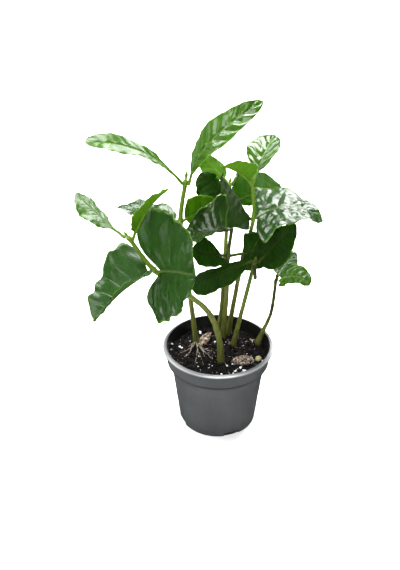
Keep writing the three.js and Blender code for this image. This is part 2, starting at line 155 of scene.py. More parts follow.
def loop_shell(rows: np.ndarray, values: Values | None = None, flat_ends: bool = False) -> Shell:
    """Closes a stack of loops into a shell.

    Each loop is joined to the next by a band of quads. An end is closed by a fan to its middle point,
    or, for a loop that runs over a sheet and back under it, by a strip between its two halves.

    Args:
        rows: Loops of points, loop by loop.
        values: Named numbers for each point of the loops.
        flat_ends: Whether the ends are closed by strips.

    Returns:
        The closed shell, facing out.
    """
    count, around = rows.shape[:2]
    index = np.arange(count * around).reshape(count, around)
    near, far = index[:-1], index[1:]
    quads = np.stack([near, np.roll(near, -1, 1), np.roll(far, -1, 1), far], -1).reshape(-1, 4)
    points = rows.reshape(-1, 3)
    named = {name: np.broadcast_to(value, (count, around)).ravel()
             for name, value in (values or {}).items()}
    if flat_ends:
        half = around // 2
        over, back = index[:, :half], index[:, ::-1][:, :half]
        first = np.stack([over[0, :-1], back[0, :-1], back[0, 1:], over[0, 1:]], -1)
        last = np.stack([over[-1, :-1], over[-1, 1:], back[-1, 1:], back[-1, :-1]], -1)
        return Shell(points, [np.concatenate([quads, first, last])], named).facing_out()
    middle = np.stack([rows[0].mean(0), rows[-1].mean(0)])
    ends = np.stack([np.roll(index[0], -1), index[0], np.full(around, count * around)], -1)
    tips = np.stack([index[-1], np.roll(index[-1], -1), np.full(around, count * around + 1)], -1)
    for name, value in named.items():
        grid = value.reshape(count, around)
        named[name] = np.concatenate([value, [grid[0].mean(), grid[-1].mean()]])
    fans = np.concatenate([ends, tips])
    return Shell(np.concatenate([points, middle]), [quads, fans], named).facing_out()


def tube_shell(path: np.ndarray, radius: np.ndarray, sides: int, beside: np.ndarray,
               values: Values | None = None) -> Shell:
    """Carries a round section along a path.

    The section stands square to the path: its first axis is the beside direction made square to the
    path's tangent, the second is the cross product of the two.

    Args:
        path: Points of the middle line.
        radius: Radius at each point, or at each point and side.
        sides: Points round the section.
        beside: A direction that the path never follows, or one for each point.
        values: Named numbers for each point of the path.

    Returns:
        The closed tube.
    """
    tangent = unit(np.gradient(path, axis=0))
    first = unit(np.cross(np.broadcast_to(beside, path.shape), tangent))
    second = np.cross(tangent, first)
    turn = np.linspace(0.0, 2.0 * np.pi, sides, endpoint=False)
    wide = radius if radius.ndim == 2 else radius[:, None]
    ring = first[:, None] * np.cos(turn)[None, :, None] + second[:, None] * np.sin(turn)[None, :, None]
    named = {name: value[:, None] for name, value in (values or {}).items()}
    return loop_shell(path[:, None] + ring * wide[..., None], named)


def joined(shells: list[Shell]) -> Shell:
    """Puts several shells into one; a value that a shell lacks is 0 there.

    Args:
        shells: The shells.

    Returns:
        One shell with all their points, faces and values.
    """
    names = sorted({name for shell in shells for name in shell.values})
    starts = np.cumsum([0] + [len(shell.points) for shell in shells])
    faces = [faces + start for shell, start in zip(shells, starts) for faces in shell.faces]
    values = {name: np.concatenate([shell.values.get(name, np.zeros(len(shell.points)))
                                    for shell in shells]) for name in names}
    return Shell(np.concatenate([shell.points for shell in shells]), faces, values)


def make_piece(name: str, shell: Shell, material: bpy.types.Material,
               nodes: tuple[str, ...] = (), sharp: float = 180.0) -> bpy.types.Object:
    """Writes a shell into a mesh object that rides on the frame.

    Args:
        name: The piece's name.
        shell: Its surface in millimetres.
        material: Its finish.
        nodes: CAD nodes that the piece stands for.
        sharp: Edges that bend more than this stay sharp.

    Returns:
        The new object.
    """
    mesh = bpy.data.meshes.new(name)
    mesh.vertices.add(len(shell.points))
    mesh.vertices.foreach_set("co", (shell.points * METRE).astype(np.float32).ravel())
    corners = np.concatenate([faces.ravel() for faces in shell.faces])
    sizes = np.concatenate([np.full(len(faces), faces.shape[1]) for faces in shell.faces])
    mesh.loops.add(len(corners))
    mesh.loops.foreach_set("vertex_index", corners.astype(np.int32))
    mesh.polygons.add(len(sizes))
    mesh.polygons.foreach_set("loop_start", (np.cumsum(sizes) - sizes).astype(np.int32))
    mesh.polygons.foreach_set("use_smooth", np.full(len(sizes), sharp > 0.0))
    for value_name, value in shell.values.items():
        layer = mesh.attributes.new(value_name, "FLOAT", "POINT")
        layer.data.foreach_set("value", value.astype(np.float32))
    mesh.update(calc_edges=True)
    mesh.validate()
    if 0.0 < sharp < 180.0:
        mesh.set_sharp_from_angle(angle=math.radians(sharp))
    mesh.materials.append(material)
    piece = bpy.data.objects.new(name, mesh)
    bpy.context.scene.collection.objects.link(piece)
    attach(piece, "root")
    if nodes:
        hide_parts(*nodes)
    LOG.info("%s: %d points, %d faces", name, len(shell.points), len(sizes))
    return piece


class Wiring:
    """Adds nodes to one node tree and joins them."""

    def __init__(self, tree: bpy.types.NodeTree) -> None:
        """Keeps the tree."""
        self.tree = tree

    def node(self, kind: str, inputs: dict[Any, Any] | None = None, **settings: Any) -> bpy.types.Node:
        """Adds a node.

        Args:
            kind: The node's type.
            inputs: Constants or output sockets by input name or number.
            settings: Properties of the node.

        Returns:
            The new node.
        """
        made = self.tree.nodes.new(kind)
        for key, value in settings.items():
            setattr(made, key, value)
        for key, value in (inputs or {}).items():
            self.feed(made.inputs[key], value)
        return made

    def feed(self, socket: bpy.types.NodeSocket, value: Any) -> None:
        """Links an output socket to an input, or sets the input's constant.

        Args:
            socket: The input.
            value: An output socket, a colour or a number.
        """
        if isinstance(value, bpy.types.NodeSocket):
            self.tree.links.new(value, socket)
        elif socket.type == "RGBA":
            socket.default_value = (*value[:3], 1.0)
        else:
            socket.default_value = value

    def math(self, operation: str, first: Any, second: Any = 0.0) -> bpy.types.NodeSocket:
        """Works out one value from two and gives its socket."""
        return self.node("ShaderNodeMath", {0: first, 1: second}, operation=operation).outputs[0]

    def part(self, value: Any, share: Any) -> bpy.types.NodeSocket:
        """Gives the socket of a share of a value."""
        return self.math("MULTIPLY", value, share)

    def spread(self, value: Any, low: Any, high: Any, start: Any = 0.0,
               end: Any = 1.0) -> bpy.types.NodeSocket:
        """Maps low..high of a value smoothly onto start..end and gives its socket."""
        inputs = {0: value, 1: low, 2: high, 3: start, 4: end}
        return self.node("ShaderNodeMapRange", inputs, interpolation_type="SMOOTHSTEP").outputs[0]

    def blend(self, share: Any, first: Any, second: Any) -> bpy.types.NodeSocket:
        """Mixes two colours by a share and gives the colour's socket."""
        made = self.node("ShaderNodeMix", {0: share, 6: first, 7: second}, data_type="RGBA")
        return made.outputs[2]

    def value(self, name: str) -> bpy.types.NodeSocket:
        """Reads one of the piece's own point values."""
        return self.node("ShaderNodeAttribute", attribute_name=name).outputs["Fac"]

    def place(self) -> bpy.types.NodeSocket:
        """Reads the place on the piece, on Object coordinates."""
        return self.node("ShaderNodeTexCoord").outputs["Object"]

    def noise(self, place: Any, scale: Any, detail: float, reach: float) -> bpy.types.NodeSocket:
        """Reads noise, with its middle minus and plus the reach spread over 0..1."""
        made = self.node("ShaderNodeTexNoise", {"Vector": place, "Scale": scale, "Detail": detail})
        return self.spread(made.outputs["Fac"], 0.5 - reach, 0.5 + reach)

    def bump(self, height: Any, strength: float, depth: float) -> bpy.types.NodeSocket:
        """Turns a height into a normal; the depth of the relief is in metres."""
        inputs = {"Strength": strength, "Distance": depth, "Height": height}
        return self.node("ShaderNodeBump", inputs).outputs[0]

    def skin(self, face: Any, gloss: Any, sheen: float, normal: Any = None) -> bpy.types.NodeSocket:
        """Adds the surface shader.

        Args:
            face: Colour.
            gloss: Roughness.
            sheen: Strength of the mirror.
            normal: Normal with relief, if the surface has any.

        Returns:
            The shader's socket.
        """
        inputs = {"Base Color": face, "Roughness": gloss, "Specular IOR Level": sheen}
        if normal is not None:
            inputs["Normal"] = normal
        return self.node("ShaderNodeBsdfPrincipled", inputs).outputs[0]

    def surface(self, shader: bpy.types.NodeSocket) -> None:
        """Leads a shader to the material's output."""
        self.node("ShaderNodeOutputMaterial", {0: shader})


def new_group(name: str, inputs: dict[str, float],
              outputs: list[str]) -> tuple[bpy.types.NodeTree, Any, Any, Wiring]:
    """Starts a shader node group of float sockets.

    Args:
        name: The group's name.
        inputs: Names and default values of the inputs.
        outputs: Names of the outputs.

    Returns:
        The group, its input node, its output node and its wiring.
    """
    tree = bpy.data.node_groups.new(name, "ShaderNodeTree")
    for socket, default in inputs.items():
        made = tree.interface.new_socket(socket, in_out="INPUT", socket_type="NodeSocketFloat")
        made.default_value = default
    for socket in outputs:
        tree.interface.new_socket(socket, in_out="OUTPUT", socket_type="NodeSocketFloat")
    wiring = Wiring(tree)
    return tree, wiring.node("NodeGroupInput"), wiring.node("NodeGroupOutput"), wiring


class Effects:
    """The shader node groups that several finishes share."""

    def __init__(self) -> None:
        """Builds every group once."""
        self.mottle = self._mottle()
        self.veins = self._veins()
        self.streaks = self._streaks()

    @staticmethod
    def _mottle() -> bpy.types.NodeTree:
        """Cloudy patches and fine grain on Object coordinates.

        Returns:
            The group, with outputs Broad and Fine from 0 to 1.
        """
        tree, given, out, wire = new_group("mottle", {"Patch": 120.0, "Grain": 900.0}, ["Broad", "Fine"])
        place = wire.place()
        wire.feed(out.inputs["Broad"], wire.noise(place, given.outputs["Patch"], detail=4.0, reach=0.17))
        wire.feed(out.inputs["Fine"], wire.noise(place, given.outputs["Grain"], detail=3.0, reach=0.2))
        return tree

    @staticmethod
    def _veins() -> bpy.types.NodeTree:
        """Rib, side veins and margin of a blade from its own values.

        A side vein runs where the phase is a whole number, the rib where across is 0, the margin where
        it is 1 or -1. Small veins are thin lines of a cell pattern on Object coordinates.

        Returns:
            The group, with outputs Rib, Vein, Net, Edge and Height.
        """
        inputs = {"Phase": 0.5, "Across": 0.0, "Cells": 420.0}
        outputs = ["Rib", "Vein", "Net", "Edge", "Height"]
        tree, given, out, wire = new_group("leaf_veins", inputs, outputs)
        side = wire.math("ABSOLUTE", given.outputs["Across"])
        cycle = wire.math("FRACT", wire.math("ADD", given.outputs["Phase"], 0.5))
        off = wire.math("ABSOLUTE", wire.math("SUBTRACT", cycle, 0.5))
        thin = wire.spread(side, 0.0, 1.0, 0.075, 0.03)
        line = wire.spread(wire.math("DIVIDE", off, thin), 0.3, 1.0, 1.0, 0.0)
        vein = wire.part(line, wire.spread(side, 0.8, 0.97, 1.0, 0.0))
        cells = wire.node("ShaderNodeTexVoronoi", {"Vector": wire.place(), "Scale": given.outputs["Cells"]},
                          feature="DISTANCE_TO_EDGE")
        net = wire.spread(cells.outputs["Distance"], 0.02, 0.14, 1.0, 0.0)
        sunk = wire.math("ADD", wire.part(vein, 0.8), wire.part(net, 0.08))
        results = (wire.spread(side, 0.012, 0.05, 1.0, 0.0), vein, net, wire.spread(side, 0.93, 1.0),
                   wire.math("SUBTRACT", 1.0, sunk))
        for name, result in zip(outputs, results):
            wire.feed(out.inputs[name], result)
        return tree

    @staticmethod
    def _streaks() -> bpy.types.NodeTree:
        """Fine lines that run the long way of a stem, root or hull.

        Noise is read on Object coordinates that are squeezed along Z, so that its spots draw out.

        Returns:
            The group, with output Streak from 0 to 1.
        """
        tree, given, out, wire = new_group("streaks", {"Scale": 900.0, "Stretch": 0.12}, ["Streak"])
        parts = wire.node("ShaderNodeSeparateXYZ", {0: wire.place()})
        low = wire.part(parts.outputs["Z"], given.outputs["Stretch"])
        drawn = wire.node("ShaderNodeCombineXYZ", {0: parts.outputs["X"], 1: parts.outputs["Y"], 2: low})
        streak = wire.noise(drawn.outputs[0], given.outputs["Scale"], detail=2.0, reach=0.18)
        wire.feed(out.inputs["Streak"], streak)
        return tree

    @staticmethod
    def place(wire: Wiring, group: bpy.types.NodeTree, inputs: dict[str, Any]) -> bpy.types.Node:
        """Places a group in a material with its own values."""
        return wire.node("ShaderNodeGroup", inputs, node_tree=group)


def new_material(name: str) -> tuple[bpy.types.Material, Wiring]:
    """Starts an empty node material.

    Args:
        name: The finish's name.

    Returns:
        The material and its wiring.
    """
    material = bpy.data.materials.new(name)
    material.use_nodes = True
    material.node_tree.nodes.clear()
    return material, Wiring(material.node_tree)


@dataclass(frozen=True)
class LeafFinish:
    """A waxy green blade that lets some light through.

    Attributes:
        name: Name of the material.
        blade: Colour of the face.
        shade: Colour of its darker patches.
        vein: Colour of rib and veins.
        margin: Colour of the edge.
        under: Colour of the underside.
        glow: Colour of light that comes through.
        stalk: Colour of the stalk.
        smooth: Roughness where the wax is thick.
        rough: Roughness where the wax has thinned.
        through: Share of light that goes through.
        sheen: Strength of the mirror on the wax.
        relief: Strength of the sunk veins.
        depth: Depth of the relief in metres.
        patch: Patches per metre.
        grain: Grains per metre.
        net_shows: Share of the vein colour on the small veins.
        veins_show: How strong the side veins are beside the rib.
        lines_show: Share of the vein colour on rib and side veins.
        edge_shows: Share of the margin's colour.
        under_shows: Share of the underside's colour.
        under_rough: Extra roughness of the underside.
        grain_height: Height of the grain as a share of the veins' depth.
    """

    name: str
    blade: Colour
    shade: Colour
    vein: Colour
    margin: Colour
    under: Colour
    glow: Colour
    stalk: Colour
    smooth: float
    rough: float
    through: float
    sheen: float = 0.5
    relief: float = 0.3
    depth: float = 0.00025
    patch: float = 150.0
    grain: float = 1100.0
    net_shows: float = 0.08
    veins_show: float = 0.75
    lines_show: float = 0.55
    edge_shows: float = 0.7
    under_shows: float = 0.8
    under_rough: float = 0.18
    grain_height: float = 0.03

    def make(self, effects: Effects) -> bpy.types.Material:
        """Builds the material.

        Args:
            effects: The shared node groups.

        Returns:
            The material.
        """
        material, wire = new_material(self.name)
        veins = effects.place(wire, effects.veins, {"Phase": wire.value("phase"),
                                                    "Across": wire.value("across")}).outputs
        mottle = effects.place(wire, effects.mottle, {"Patch": self.patch, "Grain": self.grain}).outputs
        under = wire.value("under")
        lines = wire.math("MAXIMUM", wire.part(veins["Vein"], self.veins_show), veins["Rib"])
        face = wire.blend(mottle["Broad"], self.shade, self.blade)
        for share, colour in ((wire.part(veins["Net"], self.net_shows), self.vein),
                              (wire.part(lines, self.lines_show), self.vein),
                              (wire.part(veins["Edge"], self.edge_shows), self.margin),
                              (wire.part(under, self.under_shows), self.under),
                              (wire.value("stalk"), self.stalk)):
            face = wire.blend(share, face, colour)
        gloss = wire.spread(mottle["Fine"], 0.0, 1.0, self.smooth, self.rough)
        gloss = wire.math("ADD", gloss, wire.part(under, self.under_rough))
        height = wire.math("ADD", veins["Height"], wire.part(mottle["Fine"], self.grain_height))
        normal = wire.bump(height, self.relief, self.depth)
        skin = wire.skin(face, gloss, self.sheen, normal)
        glow = wire.blend(lines, self.glow, self.vein)
        light = wire.node("ShaderNodeBsdfTranslucent", {"Color": glow, "Normal": normal})
        mix = wire.node("ShaderNodeMixShader", {0: self.through, 1: skin, 2: light.outputs[0]})
        wire.surface(mix.outputs[0])
        return material


@dataclass(frozen=True)
class StemFinish:
    """Green bark with fine streaks that browns with age and darkens at the soil."""

    name: str = "young_bark"
    green: Colour = (0.056, 0.068, 0.012)
    pale: Colour = (0.11, 0.12, 0.026)
    fresh: Colour = (0.085, 0.16, 0.01)
    brown: Colour = (0.011, 0.008, 0.004)
    earth: Colour = (0.03, 0.022, 0.012)
    smooth: float = 0.34
    rough: float = 0.54
    sheen: float = 0.12
    relief: float = 0.5
    depth: float = 0.00012
    streaks: float = 1300.0
    stretch: float = 0.1
    patch: float = 260.0
    grain: float = 1900.0
    streaks_show: float = 0.75
    fresh_shows: float = 0.85
    earth_shows: float = 0.8
    grain_height: float = 0.5

    def make(self, effects: Effects) -> bpy.types.Material:
        """Builds the material.

        Args:
            effects: The shared node groups.

        Returns:
            The material.
        """
        material, wire = new_material(self.name)
        sizes = {"Scale": self.streaks, "Stretch": self.stretch}
        streak = effects.place(wire, effects.streaks, sizes).outputs[0]
        mottle = effects.place(wire, effects.mottle, {"Patch": self.patch, "Grain": self.grain}).outputs
        aged = wire.part(wire.value("brown"), wire.spread(mottle["Broad"], 0.0, 0.6, 0.75, 1.0))
        face = wire.blend(wire.part(streak, self.streaks_show), self.green, self.pale)
        face = wire.blend(wire.part(wire.value("fresh"), self.fresh_shows), face, self.fresh)
        face = wire.blend(aged, face, self.brown)
        face = wire.blend(wire.part(wire.value("earth"), self.earth_shows), face, self.earth)
        height = wire.math("ADD", streak, wire.part(mottle["Fine"], self.grain_height))
        gloss = wire.spread(mottle["Fine"], 0.0, 1.0, self.smooth, self.rough)
        wire.surface(wire.skin(face, gloss, self.sheen, wire.bump(height, self.relief, self.depth)))
        return material


@dataclass(frozen=True)
class PlasticFinish:
    """Matt grey moulded plastic with a fine grain, faint clouding and dusty scuffs, a painted highlight along
    the lip, and painted shade on the inner wall, in the notches and in thin lines under collar and lip.
    """

    name: str = "grey_plastic"
    body: Colour = (0.034, 0.0375, 0.0395)
    cloud: Colour = (0.041, 0.0445, 0.046)
    dust: Colour = (0.1, 0.095, 0.085)
    # Painted shade: near-black on the inner wall and the notch backs, and in the dark lines under collar and
    # lip.
    inside: Colour = (0.004, 0.004, 0.0035)
    # Painted highlight: pale grey band on the lip's rounded top that stands in for the bright reflection
    # there.
    painted_highlight: Colour = (0.3, 0.305, 0.31)
    smooth: float = 0.34
    rough: float = 0.5
    sheen: float = 0.5
    relief: float = 0.25
    depth: float = 0.00006
    patch: float = 60.0
    grain: float = 2600.0
    specks: float = 420.0
    dust_shows: float = 0.07
    # Share of the painted highlight on the lip, and how much less rough the lip is.
    highlight_shows: float = 0.45
    lip_gloss: float = 0.28
    # Share of the painted shade in the lines under collar and lip.
    shade_line_shows: float = 0.9

    def make(self, effects: Effects) -> bpy.types.Material:
        """Builds the material.

        Args:
            effects: The shared node groups.

        Returns:
            The material.
        """
        material, wire = new_material(self.name)
        broad = effects.place(wire, effects.mottle, {"Patch": self.patch, "Grain": self.grain}).outputs
        speck = effects.place(wire, effects.mottle, {"Patch": self.specks}).outputs
        # The lip value marks the band of painted highlight; the next value marks the lines of painted shade
        # under collar and lip.
        lip, seam = wire.value("lip"), wire.value("seam")
        face = wire.blend(broad["Broad"], self.body, self.cloud)
        # Real dust specks, then the painted highlight on the lip, the painted shade lines, and painted shade
        # on the inner wall and in the notches.
        for share, colour in ((wire.spread(speck["Broad"], 0.75, 1.0, 0.0, self.dust_shows), self.dust),
                              (wire.part(lip, self.highlight_shows), self.painted_highlight),
                              (wire.part(seam, self.shade_line_shows), self.inside),
                              (wire.value("inside"), self.inside)):
            face = wire.blend(share, face, colour)
        gloss = wire.spread(broad["Broad"], 0.0, 1.0, self.smooth, self.rough)
        gloss = wire.math("SUBTRACT", gloss, wire.part(lip, self.lip_gloss))
        wire.surface(wire.skin(face, gloss, self.sheen, wire.bump(broad["Fine"], self.relief, self.depth)))
        return material


@dataclass(frozen=True)
class GroundFinish:
    """A dull mottled finish for peat, grit, roots and hulls.

    Attributes:
        name: Name of the material.
        dark: Colour of the low patches.
        light: Colour of the high patches.
        fleck: Colour of thin streaks.
        flecked: Share of the streaks that show.
        patch: Patches per metre.
        rough: Roughness of the surface on its grains.
        depth: Height of the grain in metres.
        smoother: How much less rough it is between them.
        sheen: Strength of the mirror.
        relief: Strength of the grain.
    """

    name: str
    dark: Colour
    light: Colour
    fleck: Colour
    flecked: float
    patch: float
    rough: float
    depth: float
    smoother: float = 0.1
    sheen: float = 0.15
    relief: float = 0.8

    def make(self, effects: Effects) -> bpy.types.Material:
        """Builds the material.

        Args:
            effects: The shared node groups.

        Returns:
            The material.
        """
        material, wire = new_material(self.name)
        mottle = effects.place(wire, effects.mottle, {"Patch": self.patch, "Grain": self.patch * 4.0}).outputs
        streak = effects.place(wire, effects.streaks, {"Scale": self.patch * 2.0, "Stretch": 1.0}).outputs[0]
        face = wire.blend(mottle["Broad"], self.dark, self.light)
        face = wire.blend(wire.spread(streak, 0.7, 1.0, 0.0, self.flecked), face, self.fleck)
        gloss = wire.spread(mottle["Fine"], 0.0, 1.0, self.rough - self.smoother, self.rough)
        wire.surface(wire.skin(face, gloss, self.sheen, wire.bump(mottle["Fine"], self.relief, self.depth)))
        return material


LEAF_FINISHES = {
    Slot.DARK: LeafFinish(
        "old_leaf", blade=(0.013, 0.036, 0.0045), shade=(0.007, 0.021, 0.0025), vein=(0.045, 0.085, 0.015),
        margin=(0.06, 0.13, 0.008), under=(0.03, 0.06, 0.012), glow=(0.1, 0.25, 0.003),
        stalk=(0.03, 0.05, 0.008), smooth=0.14, rough=0.26, through=0.3),
    Slot.GREEN: LeafFinish(
        "green_leaf", blade=(0.0135, 0.034, 0.009), shade=(0.0085, 0.023, 0.0055), vein=(0.07, 0.125, 0.028),
        margin=(0.08, 0.17, 0.012), under=(0.045, 0.09, 0.018), glow=(0.15, 0.35, 0.004),
        stalk=(0.08, 0.14, 0.014), smooth=0.13, rough=0.25, through=0.34),
    Slot.YOUNG: LeafFinish(
        "young_leaf", blade=(0.036, 0.095, 0.006), shade=(0.025, 0.072, 0.004), vein=(0.1, 0.18, 0.03),
        margin=(0.13, 0.25, 0.02), under=(0.06, 0.13, 0.008), glow=(0.15, 0.33, 0.002),
        stalk=(0.1, 0.19, 0.016), smooth=0.09, rough=0.18, through=0.34, sheen=0.65),
}
# Painted shade: darker blade, patch and vein colours for leaves in the shade of others.
SHADED_COLOURS = {
    Slot.DARK: ((0.008, 0.023, 0.0028), (0.0045, 0.014, 0.0016), (0.02, 0.042, 0.006)),
    Slot.GREEN: ((0.014, 0.04, 0.003), (0.009, 0.028, 0.002), (0.035, 0.075, 0.008)),
    Slot.YOUNG: ((0.032, 0.085, 0.002), (0.024, 0.068, 0.0015), (0.06, 0.12, 0.008)),
}
# Dull wax with the painted-shade colours above.
DULL_SHADED_FINISHES = {
    slot: replace(LEAF_FINISHES[slot], name=f"dull_{LEAF_FINISHES[slot].name}", blade=blade, shade=shade,
                  vein=vein, smooth=0.4, rough=0.5, sheen=0.03, relief=0.1)
    for slot, (blade, shade, vein) in SHADED_COLOURS.items()
}
SATIN_FINISHES = {
    slot: replace(finish, name=f"satin_{finish.name}", smooth=0.18, rough=0.3, sheen=0.36)
    for slot, finish in LEAF_FINISHES.items()
}
WAXES = {Wax.GLOSSY: LEAF_FINISHES, Wax.SATIN: SATIN_FINISHES, Wax.DULL: DULL_SHADED_FINISHES}
PEAT = GroundFinish("peat", dark=(0.001, 0.0009, 0.0008), light=(0.0036, 0.003, 0.0026),
                    fleck=(0.016, 0.013, 0.01), flecked=0.2, patch=700.0, rough=0.95, depth=0.0004)
PERLITE = GroundFinish("perlite", dark=(0.55, 0.54, 0.5), light=(0.85, 0.85, 0.83),
                       fleck=(0.4, 0.38, 0.34), flecked=0.3, patch=900.0, rough=0.8, depth=0.0002)
ROOT = GroundFinish("root_skin", dark=(0.2, 0.155, 0.11), light=(0.48, 0.42, 0.33),
                    fleck=(0.16, 0.1, 0.06), flecked=0.25, patch=800.0, rough=0.7, depth=0.0001)
HULL = GroundFinish("parchment_hull", dark=(0.03, 0.019, 0.012), light=(0.15, 0.105, 0.075),
                    fleck=(0.6, 0.54, 0.48), flecked=0.6, patch=560.0, rough=0.7, depth=0.0003)
HUSK = GroundFinish("dry_husk", dark=(0.05, 0.034, 0.022), light=(0.24, 0.17, 0.12),
                    fleck=(0.6, 0.52, 0.44), flecked=0.5, patch=500.0, rough=0.65, depth=0.0002)
SEED = GroundFinish("green_bean", dark=(0.22, 0.22, 0.1), light=(0.5, 0.48, 0.28),
                    fleck=(0.12, 0.09, 0.04), flecked=0.4, patch=600.0, rough=0.6, depth=0.0002)


@dataclass
class Stem:
    """One seedling's stem.

    Attributes:
        name: Name of the seedling.
        through: Points from the foot to the top joint.
        seed: Which of them carries the seed leaves.
        top: Which of them carries the top leaves.
        foot: Radius above the flare.
        tip: Radius at the top joint.
        browned: Heights and shares of brown bark between which the colour changes.
        flare: Extra radius at the soil.
        flare_height: Height over which the flare fades.
        swell: Share by which a joint is thicker.
        swell_reach: Distance from the joint over which that fades.
        ring: Place, width and depth of the groove on both sides of a joint.
        bud: Length of the bud.
        bud_shape: Neck, swelling, and middle and width of the swelling of the bud.
        bud_join: Share of the bud over which the stem turns into it.
        point: Radius of the bud's point.
        ridge: Height of the four ridges, as a share of the radius.
        bump: Height of the small bumps, likewise.
        bump_pitch: Distance between them, on the skin rolled out at the scale of the next two.
        skin_round: Scale of the skin round the stem.
        skin_up: Scale of the skin up the stem.
        fresh: Shares of the way up between which the bark turns fresh green.
        earth_height: Height over which the earth on the foot fades.
        sunk: How deep the foot goes into the peat.
    """

    name: str
    through: tuple[Point, ...]
    seed: int
    top: int
    foot: float
    tip: float
    browned: tuple[tuple[float, float], ...] = ((42.0, 0.15), (200.0, 0.0))
    flare: float = 0.7
    flare_height: float = 4.0
    swell: float = 0.35
    swell_reach: float = 2.2
    ring: tuple[float, float, float] = (1.5, 0.35, 0.06)
    bud: float = 4.5
    bud_shape: tuple[float, float, float, float] = (0.42, 0.66, 0.48, 0.24)
    bud_join: float = 0.22
    point: float = 0.06
    ridge: float = 0.05
    bump: float = 0.035
    bump_pitch: float = 1.3
    skin_round: float = 2.0
    skin_up: float = 0.3
    fresh: tuple[float, float] = (0.4, 0.78)
    earth_height: float = 1.6
    sunk: float = 1.2
    rows: int = 150
    sides: int = 24

    def points(self) -> np.ndarray:
        """The stem's points, with the bud's tip beyond the last joint."""
        given = np.array(self.through)
        return np.vstack([given, given[-1] + unit(given[-1] - given[-2]) * self.bud])

    def joint(self, place: Joint) -> np.ndarray:
        """The middle of a leaf joint."""
        return np.array(self.through[self.seed if place is Joint.SEED else self.top])

    def bare_radius(self, share: np.ndarray | float) -> np.ndarray:
        """Radius without flare and joints, by the share of the way to the top joint."""
        return self.foot + (self.tip - self.foot) * np.minimum(1.0, share)

    def radius_at(self, place: Joint) -> float:
        """Radius of the stem at a joint, flare included.

        Args:
            place: The joint.

        Returns:
            The radius in millimetres, without the joint's swelling.
        """
        number = self.seed if place is Joint.SEED else self.top
        high = self.joint(place)[2] - STEM_FOOT
        bare = self.bare_radius(number / (len(self.through) - 1))
        return float(bare + self.flare * math.exp(-high / self.flare_height))

    def line(self, share: np.ndarray) -> np.ndarray:
        """The middle line: a centripetal Catmull-Rom curve through the points.

        Each span is the cubic with the end places and the tangents of unevenly spaced points, where the
        spacing is the square root of the distance between points.

        Args:
            share: Shares of the whole curve, from 0 to 1.

        Returns:
            One point per share.
        """
        given = self.points()
        padded = np.vstack([2 * given[0] - given[1], given, 2 * given[-1] - given[-2]])
        spans = len(given) - 1
        span = np.minimum((share * spans).astype(int), spans - 1)
        way = (share * spans - span)[:, None]
        p0, p1, p2, p3 = (padded[span + k] for k in range(4))
        d0, d1, d2 = (np.sqrt(np.linalg.norm(b - a, axis=1, keepdims=True))
                      for a, b in ((p0, p1), (p1, p2), (p2, p3)))
        leave = ((p1 - p0) / d0 - (p2 - p0) / (d0 + d1) + (p2 - p1) / d1) * d1
        reach = ((p2 - p1) / d1 - (p3 - p1) / (d1 + d2) + (p3 - p2) / d2) * d1
        square = -3 * p1 + 3 * p2 - 2 * leave - reach
        cube = 2 * p1 - 2 * p2 + leave + reach
        return p1 + leave * way + square * way**2 + cube * way**3

    def build(self, material: bpy.types.Material) -> bpy.types.Object:
        """Builds the stem with swollen joints, faint ridges and a pointed bud.

        The radius runs evenly from foot to tip, plus an exponential flare at the soil, times a bell
        curve at each joint, times four faint ridges round the stem and small seeded bumps.

        Args:
            material: The bark.

        Returns:
            The stem's piece.
        """
        spans = len(self.through)
        share = np.linspace(0.0, 1.0, self.rows)
        path = self.line(share)
        climb = share * spans / (spans - 1)
        high = path[:, 2] - STEM_FOOT
        radius = self.bare_radius(climb) + self.flare * np.exp(-high / self.flare_height)
        ring_at, ring_width, ring_depth = self.ring
        for number in sorted({self.seed, self.top}):
            away = np.linalg.norm(path - np.array(self.through[number]), axis=1)
            radius = radius * (1.0 + self.swell * np.exp(-((away / self.swell_reach) ** 2)))
            radius = radius * (1.0 - ring_depth * np.exp(-(((away - ring_at) / ring_width) ** 2)))
        bud = np.maximum(0.0, share * spans - (spans - 1))
        thin, full, middle, width = self.bud_shape
        spindle = thin + full * np.exp(-(((bud - middle) / width) ** 2))
        neck = np.clip(1.0 - bud, 0.0, 1.0) ** 0.5 * spindle
        join = smooth_step(0.0, self.bud_join, bud)
        radius = np.maximum(np.where(bud > 0, radius + (neck - radius) * join, radius), self.point)
        turn = np.linspace(0.0, 2.0 * np.pi, self.sides, endpoint=False)
        ridges = 1.0 + self.ridge * np.cos(4.0 * turn)[None, :] * smooth_step(0.2, 0.9, climb)[:, None]
        skin = np.stack(np.broadcast_arrays(np.cos(turn)[None, :] * self.skin_round,
                                            np.sin(turn)[None, :] * self.skin_round,
                                            path[:, 2][:, None] * self.skin_up), -1)
        bumps = wave_noise(skin, self.bump_pitch, len(self.name) + self.seed)
        wide = radius[:, None] * ridges * (1.0 + self.bump * bumps)
        heights, browns = np.array(self.browned).T
        values = {"brown": np.interp(path[:, 2], heights, browns), "fresh": smooth_step(*self.fresh, climb),
                  "earth": np.exp(-high / self.earth_height)}
        path[0, 2] -= self.sunk
        shell = tube_shell(path, wide, self.sides, BACKWARD, values)
        return make_piece(f"{self.name}_stem_bark", shell, material, (f"{self.name}_stem",))


